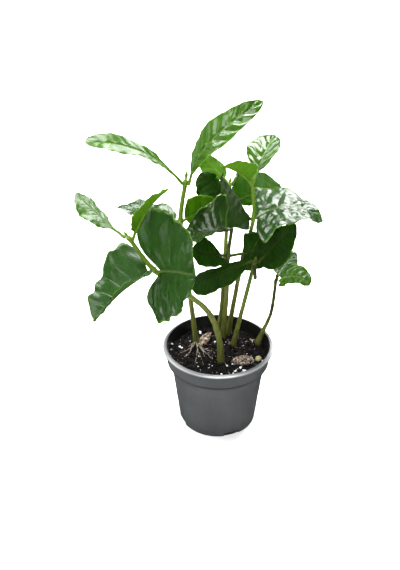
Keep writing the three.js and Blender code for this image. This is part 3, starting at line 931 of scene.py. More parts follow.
@dataclass
class Stub:
    """The withered stalk that hangs from a stem's joint.

    Attributes:
        stem: Name of the seedling.
        path: Points from the joint, off its middle.
        radius: Radius at each point.
        brown: Share of brown bark.
        rounded: Share of the length over which the end rounds off.
        passes: How often the middle line is smoothed.
    """

    stem: str
    path: tuple[Point, ...]
    radius: tuple[float, ...]
    brown: float = 0.86
    rounded: float = 0.08
    passes: int = 4
    rows: int = 30
    sides: int = 14

    def build(self, stem: Stem, material: bpy.types.Material) -> bpy.types.Object:
        """Builds the stub as a tube with a smooth middle line and a rounded end.

        Args:
            stem: The stem that it hangs from.
            material: The bark.

        Returns:
            The stub's piece.
        """
        share = np.linspace(0.0, 1.0, self.rows)
        at = np.linspace(0.0, 1.0, len(self.path))
        bent = np.array(self.path)
        line = np.stack([np.interp(share, at, bent[:, k]) for k in range(3)], -1)
        for _ in range(self.passes):
            line[1:-1] = (line[:-2] + 2.0 * line[1:-1] + line[2:]) / 4.0
        end = np.sqrt(np.clip((1.0 - share) / self.rounded, 0.02, 1.0))
        wide = np.interp(share, at, np.array(self.radius)) * end
        values = {"brown": np.full(self.rows, self.brown), "fresh": np.zeros(self.rows),
                  "earth": np.zeros(self.rows)}
        shell = tube_shell(stem.joint(Joint.TOP) + line, wide, self.sides, BACKWARD, values)
        return make_piece(f"{self.stem}_stalk_stub", shell, material)


@dataclass
class Leaf:
    """One leaf: a blade worked out from a few angles and sizes, on its stalk.

    Attributes:
        stem: Name of the seedling.
        place: The joint that it stands on.
        side: Letter of the leaf at its joint.
        slot: Finish of the blade.
        heading: Direction round from +X.
        rise: Angle above level at the stalk.
        roll: Turn about the rib; the left side goes up.
        droop: Fall of the rise towards the tip.
        twist: Change of the roll towards the tip.
        swing: Change of the heading towards the tip.
        length: Length of the blade.
        width: Width of the blade.
        fold: Lift of the left half from the rib, and of the right one unless it has its own.
        fold_right: Lift of the right half.
        curl: How far the margin turns up.
        cover: How far the blade runs down its stalk.
        wave: Height of the ripple along the margin.
        waves: Number of ripples.
        phase: Start of the ripples, in turns.
        lobe: How far the left base corner reaches back, and the right one unless it has its own.
        lobe_right: How far the right one does.
        left: Width of the left half, as a share of the even one.
        right: Width of the right half, likewise.
        bulge: How far the base rounds back between stalk and corners.
        widest: Share of the length where a round blade is widest.
        power: Fullness of a round blade's end.
        base: Taper of a pointed blade's lower half; less is fuller.
        tip: Taper of its upper half.
        stalk: Length of the stalk.
        seat: Extra room between stalk and stem.
        form: Outline, or None for the one that the joint gives.
        pairs: Side veins on each half.
        quilt: Height of the swelling between side veins.
        pucker: Height of the small bumps between them.
        frill: Height of the fine crimping of the margin.
        scallop: Depth of the scallops along the margin.
        tint: Slot whose colours it shows, where it is younger or older than its own.
        wax: How strongly it mirrors; leaves in the shade of others take the dull finish, whose darker colours
            are painted shade.
        rows: Rows of points along the blade.
        columns: Points across it.
        blade: Thickness of the blade.
        stalk_radius: Radius of the solid leaf's stalk.
        stalk_wide: Radius of the stalk at the stem and at the blade.
        gap: Room between stalk and stem.
        shift: Turns by which ripples and veins of the right half come later.
        dip: Depth and half-width of the groove along the rib.
        rib_end: Share of the length where the rib below the blade ends.
        rib_wide: Radius of that rib at its end, and what it has more at the stalk.
    """

    stem: str
    place: Joint
    side: str
    slot: Slot
    heading: float
    rise: float
    length: float
    width: float
    roll: float = 0.0
    droop: float = 0.0
    twist: float = 0.0
    swing: float = 0.0
    fold: float = 10.0
    fold_right: float | None = None
    curl: float = 0.0
    cover: float | None = None
    wave: float | None = None
    waves: float = 2.6
    phase: float = 0.0
    lobe: float | None = None
    lobe_right: float | None = None
    left: float = 1.0
    right: float = 1.0
    bulge: float = 0.0
    widest: float = 0.42
    power: float = 2.3
    base: float = 1.25
    tip: float = 0.75
    stalk: float = 3.4
    seat: float = 0.0
    form: Form | None = None
    pairs: float = 6.0
    quilt: float = 0.35
    pucker: float = 0.1
    frill: float = 0.2
    scallop: float = 0.0
    tint: Slot | None = None
    wax: Wax = Wax.GLOSSY
    rows: int = 84
    columns: int = 49
    blade: float = 0.34
    stalk_radius: float = 0.65
    stalk_wide: tuple[float, float] = (0.85, 0.72)
    gap: float = 0.3
    shift: float = 0.37
    dip: tuple[float, float] = (0.22, 0.55)
    rib_end: float = 0.93
    rib_wide: tuple[float, float] = (0.14, 0.58)

    @property
    def outline(self) -> Form:
        """The blade's outline."""
        return self.form or (Form.ROUND if self.place is Joint.SEED else Form.POINTED)

    @property
    def name(self) -> str:
        """Name of the CAD node that the leaf stands for."""
        return f"{self.stem}_{self.place.value}_leaf_{self.side}"

    def axes(self, share: np.ndarray) -> tuple[np.ndarray, np.ndarray, np.ndarray, np.ndarray]:
        """Directions of the blade along its rib.

        Heading, rise and roll change evenly with the share; the rib's direction comes from heading and
        rise, and the other two are turned about it by the roll.

        Args:
            share: Shares of the blade's length.

        Returns:
            The level direction, and the directions along, across and out of the blade.
        """
        heading = np.radians(self.heading + self.swing * share)
        rise = np.radians(self.rise - self.droop * share)
        roll = np.radians(self.roll + self.twist * share)[..., None]
        level = np.stack([np.cos(heading), np.sin(heading), np.zeros_like(heading)], -1)
        along = level * np.cos(rise)[..., None] + UP * np.sin(rise)[..., None]
        flat = np.stack([-np.sin(heading), np.cos(heading), np.zeros_like(heading)], -1)
        upright = np.cross(along, flat)
        across = flat * np.cos(roll) + upright * np.sin(roll)
        out = upright * np.cos(roll) - flat * np.sin(roll)
        return level, along, across, out

    def foot(self, stem: Stem) -> np.ndarray:
        """Where the stalk leaves the stem, clear of the swollen joint.

        Args:
            stem: The stem that it grows on.

        Returns:
            The point in millimetres.
        """
        level, along, _, _ = self.axes(np.zeros(1))
        joint = stem.radius_at(self.place) * (1.0 + stem.swell)
        clear = joint + self.gap + self.stalk_radius * abs(along[0, 2]) + self.seat
        return stem.joint(self.place) + level[0] * clear

    def rib(self, start: np.ndarray, share: np.ndarray) -> np.ndarray:
        """Points of the rib: the sum of the directions along it up to each share.

        Args:
            start: Where the blade begins.
            share: Shares of the blade's length, in any shape.

        Returns:
            One point per share.
        """
        even = np.linspace(0.0, 1.0, 201)
        along = self.axes(even)[1] * self.length
        steps = (along[1:] + along[:-1]) / 2.0 / (len(even) - 1)
        line = start + np.vstack([np.zeros(3), np.cumsum(steps, 0)])
        return np.stack([np.interp(share, even, line[:, k]) for k in range(3)], -1)

    def half_width(self, share: np.ndarray) -> np.ndarray:
        """Half of the blade's width at shares of its length.

        Round: one minus the distance from the widest place to a power, to the inverse power.
        Pointed: share to the base power times the rest to a tip power, scaled to a peak of one.

        Args:
            share: Shares of the blade's length.

        Returns:
            Half-widths in millimetres, never quite nothing.
        """
        if self.outline is Form.ROUND:
            past = (share - self.widest) / (1.0 - self.widest)
            before = (self.widest - share) / (self.widest * 1.48)
            off = np.clip(np.where(share > self.widest, past, before), 0.0, 1.0)
            wide = (1.0 - off**self.power) ** (1.0 / self.power)
        else:
            both = self.base + self.tip
            peak = (self.base / both) ** self.base * (self.tip / both) ** self.tip
            wide = np.clip(share, 0, 1) ** self.base * np.clip(1.0 - share, 0, 1) ** self.tip / peak
        return np.maximum(0.35, wide * self.width / 2.0)

    def blade_shell(self, start: np.ndarray) -> Shell:
        """The blade as a thin closed sheet.

        The middle surface follows the rule of the solid leaf: the rib, plus the half-width across it,
        lifted by the fold and a rippled margin, minus the reach back of the base corners. On it the
        blade swells between side veins, as a power of the sine of the vein phase, puckers in small
        bumps, and dips along the rib. Both faces lie half the thickness off along the normal.

        Args:
            start: Where the blade begins.

        Returns:
            The sheet, with values across, phase, under and stalk.
        """
        is_round = self.outline is Form.ROUND
        even = np.linspace(0.0, 1.0, self.rows)[:, None]
        run = np.linspace(-1.0, 1.0, self.columns)[None, :]
        across_share = run * (0.6 + 0.4 * run**2)
        edge = np.abs(across_share)
        side = np.where(across_share > 0, 0.0, self.shift)
        first = (min(self.widest, 0.3) if is_round else 0.0) * (1.0 - np.sqrt(1.0 - 0.98 * edge**2))
        share = first + (1.0 - first) * ((1.0 - (1.0 - even) ** 1.5) if is_round else even)
        _, along, across, out = self.axes(share)
        half = self.half_width(share) * np.where(across_share > 0, self.left, self.right)
        scallop = np.abs(np.sin(np.pi * (self.waves * 2.3 * share + self.phase + side))) - 0.6
        half = half + self.scallop * edge**4 * scallop * smooth_step(0.0, 0.15, 1.0 - share)
        wave = self.wave if self.wave is not None else (1.2 if is_round else 0.5)
        lobe = self.lobe if self.lobe is not None else (2.6 if is_round else -1.0)
        ripple = wave * edge**2.2 * np.sin(2 * np.pi * (self.waves * share + self.phase + side))
        crimp = self.waves * 3.3 * share + self.phase + 2 * side
        ripple = ripple + self.frill * edge**5 * np.sin(2 * np.pi * crimp)
        lean = (0.4 if is_round else 0.9) * self.width / 2.0 / self.length
        grid = np.stack(np.broadcast_arrays(share * self.length, across_share * half), -1)
        wander = 0.1 * wave_noise(grid, 9.0, len(self.stem) * 7 + ord(self.side))
        vein = self.pairs * (share - lean * edge**1.2 * (1.0 - 0.3 * share)) + side + 0.15 + wander * edge
        window = (smooth_step(0.03, 0.2, edge) * (1.0 - edge**6) * smooth_step(0.0, 0.07, share)
                  * smooth_step(0.0, 0.1, 1.0 - share))
        relief = self.quilt * (np.abs(np.sin(np.pi * vein)) - 0.6) * window
        bumps = wave_noise(grid, 6.0, len(self.stem) * 5 + ord(self.side))
        ribs = np.sin(2 * np.pi * (3.0 * vein + 0.9 * bumps))
        relief = relief + self.pucker * (0.5 * ribs + bumps) * window
        relief = relief + self.curl * edge**3
        deep, near = self.dip
        groove = np.exp(-((across_share * half / near) ** 2))
        relief = relief - deep * groove * smooth_step(0.0, 0.1, 1.0 - share)
        right = self.fold if self.fold_right is None else self.fold_right
        fold = np.radians(np.where(across_share > 0, self.fold, right))
        lobe_right = lobe if self.lobe_right is None else self.lobe_right
        corner = np.where(across_share > 0, lobe, lobe_right) * edge**1.6
        back = (corner + self.bulge * np.sin(np.pi * edge**1.2)) * (1.0 - share) ** 1.3
        middle = (self.rib(start, share) + across * (across_share * half * np.cos(fold))[..., None]
                  + out * (edge * half * np.sin(fold) + ripple + relief)[..., None] - along * back[..., None])
        normal = unit(np.cross(np.gradient(middle, axis=0), np.gradient(middle, axis=1)))
        thick = self.blade / 2.0 * np.sqrt(np.clip(1.0 - 0.7 * edge**8, 0.0, 1.0))
        upper = middle + normal * thick[..., None]
        lower = middle - normal * thick[..., None]
        loops = np.concatenate([upper, lower[:, ::-1]], 1)

        def both(value: np.ndarray) -> np.ndarray:
            """Repeats a value of the middle surface on both faces."""
            full = np.broadcast_to(value, share.shape)
            return np.concatenate([full, full[:, ::-1]], 1)

        under = np.concatenate([np.zeros(share.shape), np.ones(share.shape)], 1)
        values = {"across": both(across_share), "phase": both(vein), "under": under,
                  "stalk": np.zeros(under.shape)}
        return loop_shell(loops, values, flat_ends=True)

    def stalk_shell(self, foot: np.ndarray, start: np.ndarray) -> Shell:
        """The stalk and the rib that it turns into under the blade, as one tapering tube.

        Args:
            foot: Where the stalk leaves the stem.
            start: Where the blade begins.

        Returns:
            The tube, with values like the blade's.
        """
        share = np.linspace(0.0, self.rib_end, 40)
        _, along, across, out = self.axes(share)
        thin, more = self.rib_wide
        rib_radius = thin + more * (1.0 - share) ** 1.3
        sunk = out * (rib_radius * 0.85 * smooth_step(0.0, 0.12, share))[:, None]
        rib_line = self.rib(start, share) - sunk
        reach = np.linspace(0.0, 0.94, 10)
        first = foot - along[0]
        stalk_line = first + (start - first) * reach[:, None]
        path = np.vstack([stalk_line, rib_line])
        radius = np.concatenate([np.linspace(*self.stalk_wide, len(reach)), rib_radius])
        beside = np.vstack([np.broadcast_to(across[0], (len(reach), 3)), across])
        count = len(path)
        values = {"across": np.zeros(count), "phase": np.full(count, 0.5), "under": np.full(count, 0.3),
                  "stalk": np.concatenate([np.ones(len(reach)), 1.0 - 0.5 * share])}
        return tube_shell(path, radius, 12, beside, values)

    def build(self, stem: Stem, material: bpy.types.Material) -> bpy.types.Object:
        """Builds the leaf.

        Args:
            stem: The stem that it stands on.
            material: Its finish.

        Returns:
            The leaf's piece.
        """
        foot = self.foot(stem)
        cover = self.cover if self.cover is not None else (2.2 if self.outline is Form.ROUND else 0.0)
        start = foot + self.axes(np.zeros(1))[1][0] * (self.stalk - cover)
        shell = joined([self.blade_shell(start), self.stalk_shell(foot, start)])
        return make_piece(f"{self.name}_blade", shell, material, (self.name,))


STEMS = (
    Stem("left",
         ((1.4, -7.8, STEM_FOOT), (0.3, -9.5, 57), (-5, -12, 75), (-15.5, -19.5, 91),
          (-32.2, -18, 104.3), (-43.9, -16, 120.9)),
         4, 5, 1.7, 1.0),
    Stem("tall",
         ((-11.8, 7.1, STEM_FOOT), (-13.6, 6.5, 60), (-16, 7, 81), (-19.8, 10, 116.6), (-17, 11, 137.9)), 3,
         4, 1.45, 1.05, bud=7.5),
    Stem("middle", ((2.8, 13.8, STEM_FOOT), (4, 11.5, 62), (4.6, 8.7, 81), (4.6, 5, 99.7), (6.3, 9, 112.6)),
         3, 4, 1.5, 0.8, browned=((42, 0.15), (80, 0.1), (96, 0.85), (120, 0.8))),
    Stem("centre",
         ((6, 17.6, STEM_FOOT), (8.6, 13.5, 66), (12.8, 9.5, 98), (17, 6, 120.8), (15.4, 4, 140.6)), 3, 4,
         1.45, 0.75, browned=((42, 0.15), (80, 0.15), (98, 0.8), (112, 0.6), (122, 0.0))),
    Stem("right", ((8.7, 7.1, STEM_FOOT), (11.4, 3.5, 61), (14.6, -1.5, 82.5), (17.3, -8, 103.2)), 3, 3,
         1.35, 0.9, browned=((42, 0.15), (70, 0.2), (95, 0.7))),
    Stem("outer", ((22, 8.6, STEM_FOOT), (24.7, 9.6, 49), (28.9, 12, 59.5), (31, 14, 79.8)), 3, 3, 1.25,
         0.8, browned=((42, 0.1), (52, 0.15), (60, 0.9), (80, 0.85))),
    Stem("back", ((1, 20, STEM_FOOT), (2.6, 21.5, 62), (3.8, 25, 90), (5, 31, 116.8), (5.9, 33, 127)), 3, 4,
         1.4, 0.8),
)

STUB = Stub("right", ((-0.2, -1.2, 0.2), (0.2, -2.1, -1.2), (0.3, -2.3, -5.0), (0.5, -2.3, -8.8)),
            (0.7, 0.75, 0.85, 1.05))

LEAVES = (
    Leaf("left", Joint.SEED, "a", Slot.GREEN, -46, 25, 24.1, 59.6, roll=73, droop=15.8, twist=-5.1,
         swing=5.8, fold=9.0, fold_right=4.7, wave=1.6, waves=3.2, phase=0.04, widest=0.18, power=2.14,
         lobe=10.9, lobe_right=6.4, bulge=10, left=1.04, right=0.83, seat=0.5, cover=0.6, pairs=5,
         quilt=0.6, pucker=0.12, frill=0.6, scallop=1.0),
    Leaf("left", Joint.SEED, "b", Slot.GREEN, -144, -11, 35.8, 35.5, roll=-4.4, droop=34, twist=12.7,
         swing=1.67, fold=41, fold_right=31, wave=2.03, waves=1.98, phase=0.21, widest=0.17, power=1.44,
         lobe=3.6, lobe_right=7.9, left=1.22, right=1.09, seat=0.4, cover=2.6, frill=0.6, scallop=1.4,
         pucker=0.06, quilt=0.25, wax=Wax.SATIN),
    Leaf("left", Joint.TOP, "a", Slot.YOUNG, 164, 38, 27, 17.5, droop=-8, twist=-2, fold=2, fold_right=-12,
         base=1.05, tip=0.58, left=1.25, right=0.85, seat=0.35, quilt=0.08, pucker=0.08, pairs=4,
         wax=Wax.SATIN),
    Leaf("left", Joint.TOP, "b", Slot.YOUNG, -14, 71, 30, 11, roll=-2, droop=34, twist=-24, swing=8,
         base=0.45, tip=0.9, fold=32, fold_right=24, left=1.14, right=1.2, seat=0.1, quilt=0.2,
         wax=Wax.DULL),
    Leaf("tall", Joint.SEED, "a", Slot.GREEN, 160, 10, 32, 20, roll=5, droop=12, fold=12, pucker=0.25),
    Leaf("tall", Joint.SEED, "b", Slot.GREEN, 38, 15, 20.7, 17.0, roll=63, droop=17.0, twist=1.67,
         swing=-5.0, fold=10.7, fold_right=11.4, widest=0.27, power=1.84, lobe=-0.58, lobe_right=-2.04,
         left=1.04, right=1.3, quilt=0.15, scallop=0.5, tint=Slot.YOUNG, wax=Wax.DULL),
    Leaf("tall", Joint.TOP, "a", Slot.YOUNG, -158, 54, 52, 12.3, roll=-24, droop=51, swing=-4.5, base=1.1,
         tip=0.44, fold=10, fold_right=4, left=1.1, pairs=9, pucker=0.05, wax=Wax.SATIN, quilt=0.2),
    Leaf("tall", Joint.TOP, "b", Slot.YOUNG, -38, 75, 55.0, 16.5, roll=26, droop=61, twist=12, swing=78,
         fold=14, fold_right=4, base=0.36, tip=0.7, right=1.04, pairs=8, quilt=1.0),
    Leaf("middle", Joint.SEED, "a", Slot.DARK, 182, 9, 16.7, 13.6, roll=-76, droop=-19.2, twist=-10.8,
         swing=28, fold=15.2, fold_right=-0.98, wave=0.6, widest=0.68, power=1.3, lobe=9.8,
         lobe_right=-2.86, left=1.05, right=1.22, seat=0.75, quilt=0.25, scallop=0.5, wax=Wax.DULL),
    Leaf("middle", Joint.SEED, "b", Slot.DARK, 0, 11, 21.0, 17.9, roll=79, droop=16.6, twist=-5.1,
         swing=-3.2, fold=12.8, fold_right=3.3, wave=0.4, widest=0.1, power=2.61, lobe=0.3, lobe_right=8.9,
         left=1.29, right=1.08, stalk=9, scallop=0.5, wax=Wax.DULL),
    Leaf("middle", Joint.TOP, "a", Slot.DARK, 186, -4, 21.2, 39.3, roll=-9.8, droop=-0.03, twist=-33,
         swing=-8.3, fold=45, fold_right=30, widest=0.23, power=1.33, lobe=-3, lobe_right=9.5, left=1.5,
         right=0.97, seat=0.2, form=Form.ROUND, quilt=0.4, pucker=0.14, scallop=0.5),
    Leaf("centre", Joint.SEED, "a", Slot.GREEN, 14, 35, 37.5, 43.1, roll=-28, droop=83, twist=5.9,
         swing=-18.3, fold=28, fold_right=-31, wave=0.9, widest=0.11, power=1.3, lobe=-3, lobe_right=8.5,
         bulge=1.03, left=1.2, right=1.02, cover=3.4, scallop=0.6, quilt=0.7, pucker=0.28),
    Leaf("centre", Joint.SEED, "b", Slot.DARK, 200, 63, 30.1, 23.1, droop=10.2, twist=1.9, swing=17.6,
         fold=-60, fold_right=-66, wave=1.6, waves=1.62, phase=0.19, widest=0.27, power=1.3, lobe=0,
         lobe_right=0, bulge=6.6, left=1.25, right=0.5, seat=0.2, quilt=0.3, pucker=0.1, frill=0.4,
         scallop=0.3),
    Leaf("centre", Joint.TOP, "a", Slot.YOUNG, -114, 44, 27, 14.8, roll=2, droop=21, twist=25, swing=-25,
         fold=20, base=1.09, tip=0.84, left=1.25, right=1.05, quilt=0.2, wax=Wax.DULL),
    Leaf("centre", Joint.TOP, "b", Slot.YOUNG, 61, 46, 26, 17.2, roll=-8, droop=29, swing=6, fold=19,
         fold_right=16, base=1.04, tip=0.94, left=1.11, quilt=0.5, pairs=5),
    Leaf("right", Joint.SEED, "a", Slot.DARK, 173, -30, 33.8, 17.1, roll=-24, droop=-4, twist=-24,
         swing=-10.3, fold=-1.54, fold_right=-23, wave=0.5, widest=0.75, power=2.13, lobe=-2.97,
         lobe_right=3.5, right=0.7, seat=0.1, pucker=0.06, scallop=0.5, pairs=14, quilt=0.12, wax=Wax.DULL),
    Leaf("right", Joint.SEED, "b", Slot.DARK, 13, 46, 23.9, 22.1, roll=46, droop=10, twist=-3, swing=15.5,
         fold=13.3, fold_right=11.0, widest=0.39, power=1.31, lobe=5.2, lobe_right=6.6, bulge=1, left=0.74,
         right=0.96, seat=0.2, cover=1.2, scallop=0.5, wax=Wax.DULL),
    Leaf("outer", Joint.SEED, "a", Slot.GREEN, -6, 40, 16.0, 12.9, roll=27, droop=94, twist=-8.1, swing=-29,
         fold=4, fold_right=-38, wave=0.5, widest=0.22, power=1.9, lobe=-4.5, lobe_right=4.5, bulge=3.4,
         left=1.12, right=0.71, stalk=2.6, seat=0.6, cover=0.8, quilt=0.3, pucker=0.06, scallop=0.2,
         tint=Slot.YOUNG, wax=Wax.SATIN),
    Leaf("outer", Joint.SEED, "b", Slot.GREEN, 68, 16, 18.3, 17.7, roll=4, droop=-13.0, twist=7.8,
         swing=-36, fold=7.8, fold_right=5.5, wave=0.6, widest=0.36, power=1.55, lobe=-3, lobe_right=-6,
         right=0.74, seat=0.3, cover=0.8, scallop=0.5),
    Leaf("back", Joint.SEED, "a", Slot.DARK, 180, 69, 19.6, 16.5, roll=-40, droop=38, twist=5.6,
         swing=-19.1, fold=0, fold_right=10, widest=0.33, power=2.72, lobe=-1, lobe_right=-1, left=1.26,
         right=0.66, seat=0.3, quilt=0.25, scallop=0.9, wax=Wax.DULL),
    Leaf("back", Joint.SEED, "b", Slot.GREEN, 22, 17, 30.2, 22.1, roll=68, droop=18.2, twist=-33,
         swing=12.4, fold=-17.4, fold_right=11.0, widest=0.57, power=2.09, lobe=-1.5, lobe_right=-3,
         left=1.21, right=0.58, scallop=0.5, wax=Wax.DULL),
    Leaf("back", Joint.TOP, "a", Slot.YOUNG, 122, 19, 21.8, 12.6, roll=-38, droop=-11.1, twist=9.6,
         swing=22, fold=2.55, fold_right=-15.1, base=0.59, tip=0.71, left=1.07, right=0.85, quilt=0.15,
         wax=Wax.DULL),
    Leaf("back", Joint.TOP, "b", Slot.GREEN, 40, 50, 9.0, 6.5, droop=20),
)


@dataclass
class Pot:
    """The moulded nursery pot.

    Attributes:
        base_radius: Radius of the foot.
        wall_top: Radius of the wall under the collar.
        collar_radius: Radius of the collar's lower edge.
        neck_radius: Radius of the collar under the lip.
        lip_radius: Radius of the lip.
        height: Height of the lip.
        floor: Thickness of the floor.
        notch_width: Width of a drain notch.
        notch_height: Height of a drain notch.
        notch_back: Radius of the notches' back.
        first_notch: Direction of the first notch round from +X.
        notches: Number of notches.
        notch_edge: Half the angle between the two points at a notch's edge.
        columns: Even points round the pot.
    """

    base_radius: float = 21.25
    wall_top: float = 25.6
    collar_radius: float = 27.9
    neck_radius: float = 28.9
    lip_radius: float = 30.0
    height: float = 48.2
    floor: float = 1.8
    notch_width: float = 9.0
    notch_height: float = 2.8
    notch_back: float = 20.15
    first_notch: float = -69.0
    notches: int = 4
    notch_edge: float = 0.05
    columns: int = 240

    def profile(self) -> np.ndarray:
        """The wall's section from the middle of the underside over the lip to the middle of the floor.

        Returns:
            Rows of radius, height, notch radius, painted highlight value of the lip, painted shade value of
            the inner wall, and painted shade value of the lines under collar and lip.
        """
        bend = np.radians(np.linspace(-80, 0, 6))
        heel = np.stack([self.base_radius - 1.0 + np.cos(bend), 1.0 + np.sin(bend)], 1)
        wall_heights = np.array([self.notch_height - 0.02, self.notch_height, 10.0, 20.0, 30.0, 37.6])
        rise = (wall_heights - 1.0) / 37.0
        wall = np.stack([self.base_radius + (self.wall_top - self.base_radius) * rise, wall_heights], 1)
        foot = np.array([[self.wall_top + 0.05, 37.95], [self.wall_top + 0.35, 38.12], [27.3, 38.2],
                         [27.7, 38.35], [self.collar_radius, 38.7]])
        collar = np.array([[27.93, 39.0], [27.97, 39.4], [28.3, 42.0], [28.75, 45.2], [28.85, 45.8],
                           [self.neck_radius, 46.15], [29.2, 46.35]])
        lip = np.array([[29.7, 46.4], [29.95, 46.6], [self.lip_radius, 46.85], [29.97, 47.1], [29.88, 47.26],
                        [29.76, 47.35], [29.62, 47.42], [29.2, 47.615], [29.0, 47.708], [28.5, 47.94],
                        [28.32, 48.03], [28.15, 48.1], [28.0, self.height], [27.9, 48.1]])
        inner = np.array([[27.86, 47.9], [27.82, 46.3], [27.3, 42.5], [26.9, 39.4], [26.4, 39.1],
                          [24.6, 39.0], [24.4, 38.4], [20.3, self.floor + 0.3], [19.8, self.floor],
                          [8.0, self.floor], [0.05, self.floor]])
        under = np.array([[0.05, 0.0], [10.0, 0.0], [self.notch_back, 0.0], [20.2, 0.0]])
        rows = np.vstack([under, heel, wall, foot, collar, lip, inner])
        cut = rows[:, 0].copy()
        low = len(under) - 1
        cut[low:low + len(heel) + 2] = self.notch_back
        lip_highlight, inside, seam = np.zeros((3, len(rows)))
        # Painted highlight: a paler band along the lip's rounded top, strongest on its bevel.
        highlight_band = np.interp(np.arange(len(lip)), [1, 2, 4, 7, 8, 10], [0.0, 0.15, 1.0, 1.0, 0.3, 0.05])
        lip_highlight[-len(inner) - len(lip):-len(inner)] = highlight_band
        # Painted shade all over the inner wall.
        inside[-len(inner):] = 1.0
        first = len(under) + len(heel) + len(wall)
        last = first + len(foot)
        # Painted shade: a thin dark line under the collar's lower edge, and a fainter one under the lip.
        seam[first + 1:last + 1] = 1.0
        seam[last + 4:last + len(collar) + 1] = 0.7
        return np.column_stack([rows, cut, lip_highlight, inside, seam])

    def angles(self) -> tuple[np.ndarray, np.ndarray]:
        """Angles round the pot, with two close together at each notch edge.

        Returns:
            The angles in radians, and which of them lie in a notch.
        """
        half = math.degrees(math.asin(self.notch_width / 2.0 / self.base_radius))
        middles = self.first_notch + np.arange(self.notches) * 360.0 / self.notches
        edges = np.concatenate([middles + side * half + off * self.notch_edge
                                for side in (-1, 1) for off in (-1, 1)])
        even = np.linspace(0.0, 360.0, self.columns, endpoint=False)

        def apart(turns: np.ndarray, marks: np.ndarray) -> np.ndarray:
            """Angle from each turn to the nearest mark."""
            return np.abs((turns[:, None] - marks[None, :] + 180.0) % 360.0 - 180.0).min(1)

        clear = apart(even, edges) > 0.4
        turn = np.sort(np.concatenate([even[clear], edges % 360.0]))
        return np.radians(turn), apart(turn, middles) < half

    def build(self, material: bpy.types.Material) -> bpy.types.Object:
        """Turns the section round the pot's axis, with notches pushed in at the foot of the wall whose backs
        carry painted shade.

        Args:
            material: The plastic.

        Returns:
            The pot's piece.
        """
        radius, height, cut, lip, inside, seam = self.profile().T
        turn, in_notch = self.angles()
        wide = np.where(in_notch[None, :], cut[:, None], radius[:, None])
        tall = np.broadcast_to(height[:, None], wide.shape)
        rows = np.stack([wide * np.cos(turn), wide * np.sin(turn), tall], -1)
        # Painted shade on the backs of the notches, added to that on the inner wall.
        dark = np.where(in_notch[None, :] & (cut < radius)[:, None], 1.0, inside[:, None])
        shell = loop_shell(rows, {"lip": lip[:, None], "inside": dark, "seam": seam[:, None]})
        return make_piece("moulded_pot", shell, material, ("pot",), sharp=32.0)


@dataclass(frozen=True)
class Rootlet:
    """A bare root on the peat: start, heading, length, sideways bend and height at its start."""

    x: float
    y: float
    heading: float
    length: float
    bend: float = 0.0
    lift: float = 1.5
    radius: float = 0.13


@dataclass(frozen=True)
class Lump:
    """A hull or seed on the peat.

    Attributes:
        name: Name of the piece.
        middle: Its middle.
        half: Half of its length, width and height.
        heading: Direction of its length round from +X.
        tilt: Fall of its length.
        crease: Depth of the crease along its top, as a share of its size.
        crumple: How crumpled its skin is.
        taper: How much thinner its ends are.
    """

    name: str
    middle: Point
    half: Point
    heading: float
    tilt: float
    crease: float
    crumple: float
    taper: float = 0.0


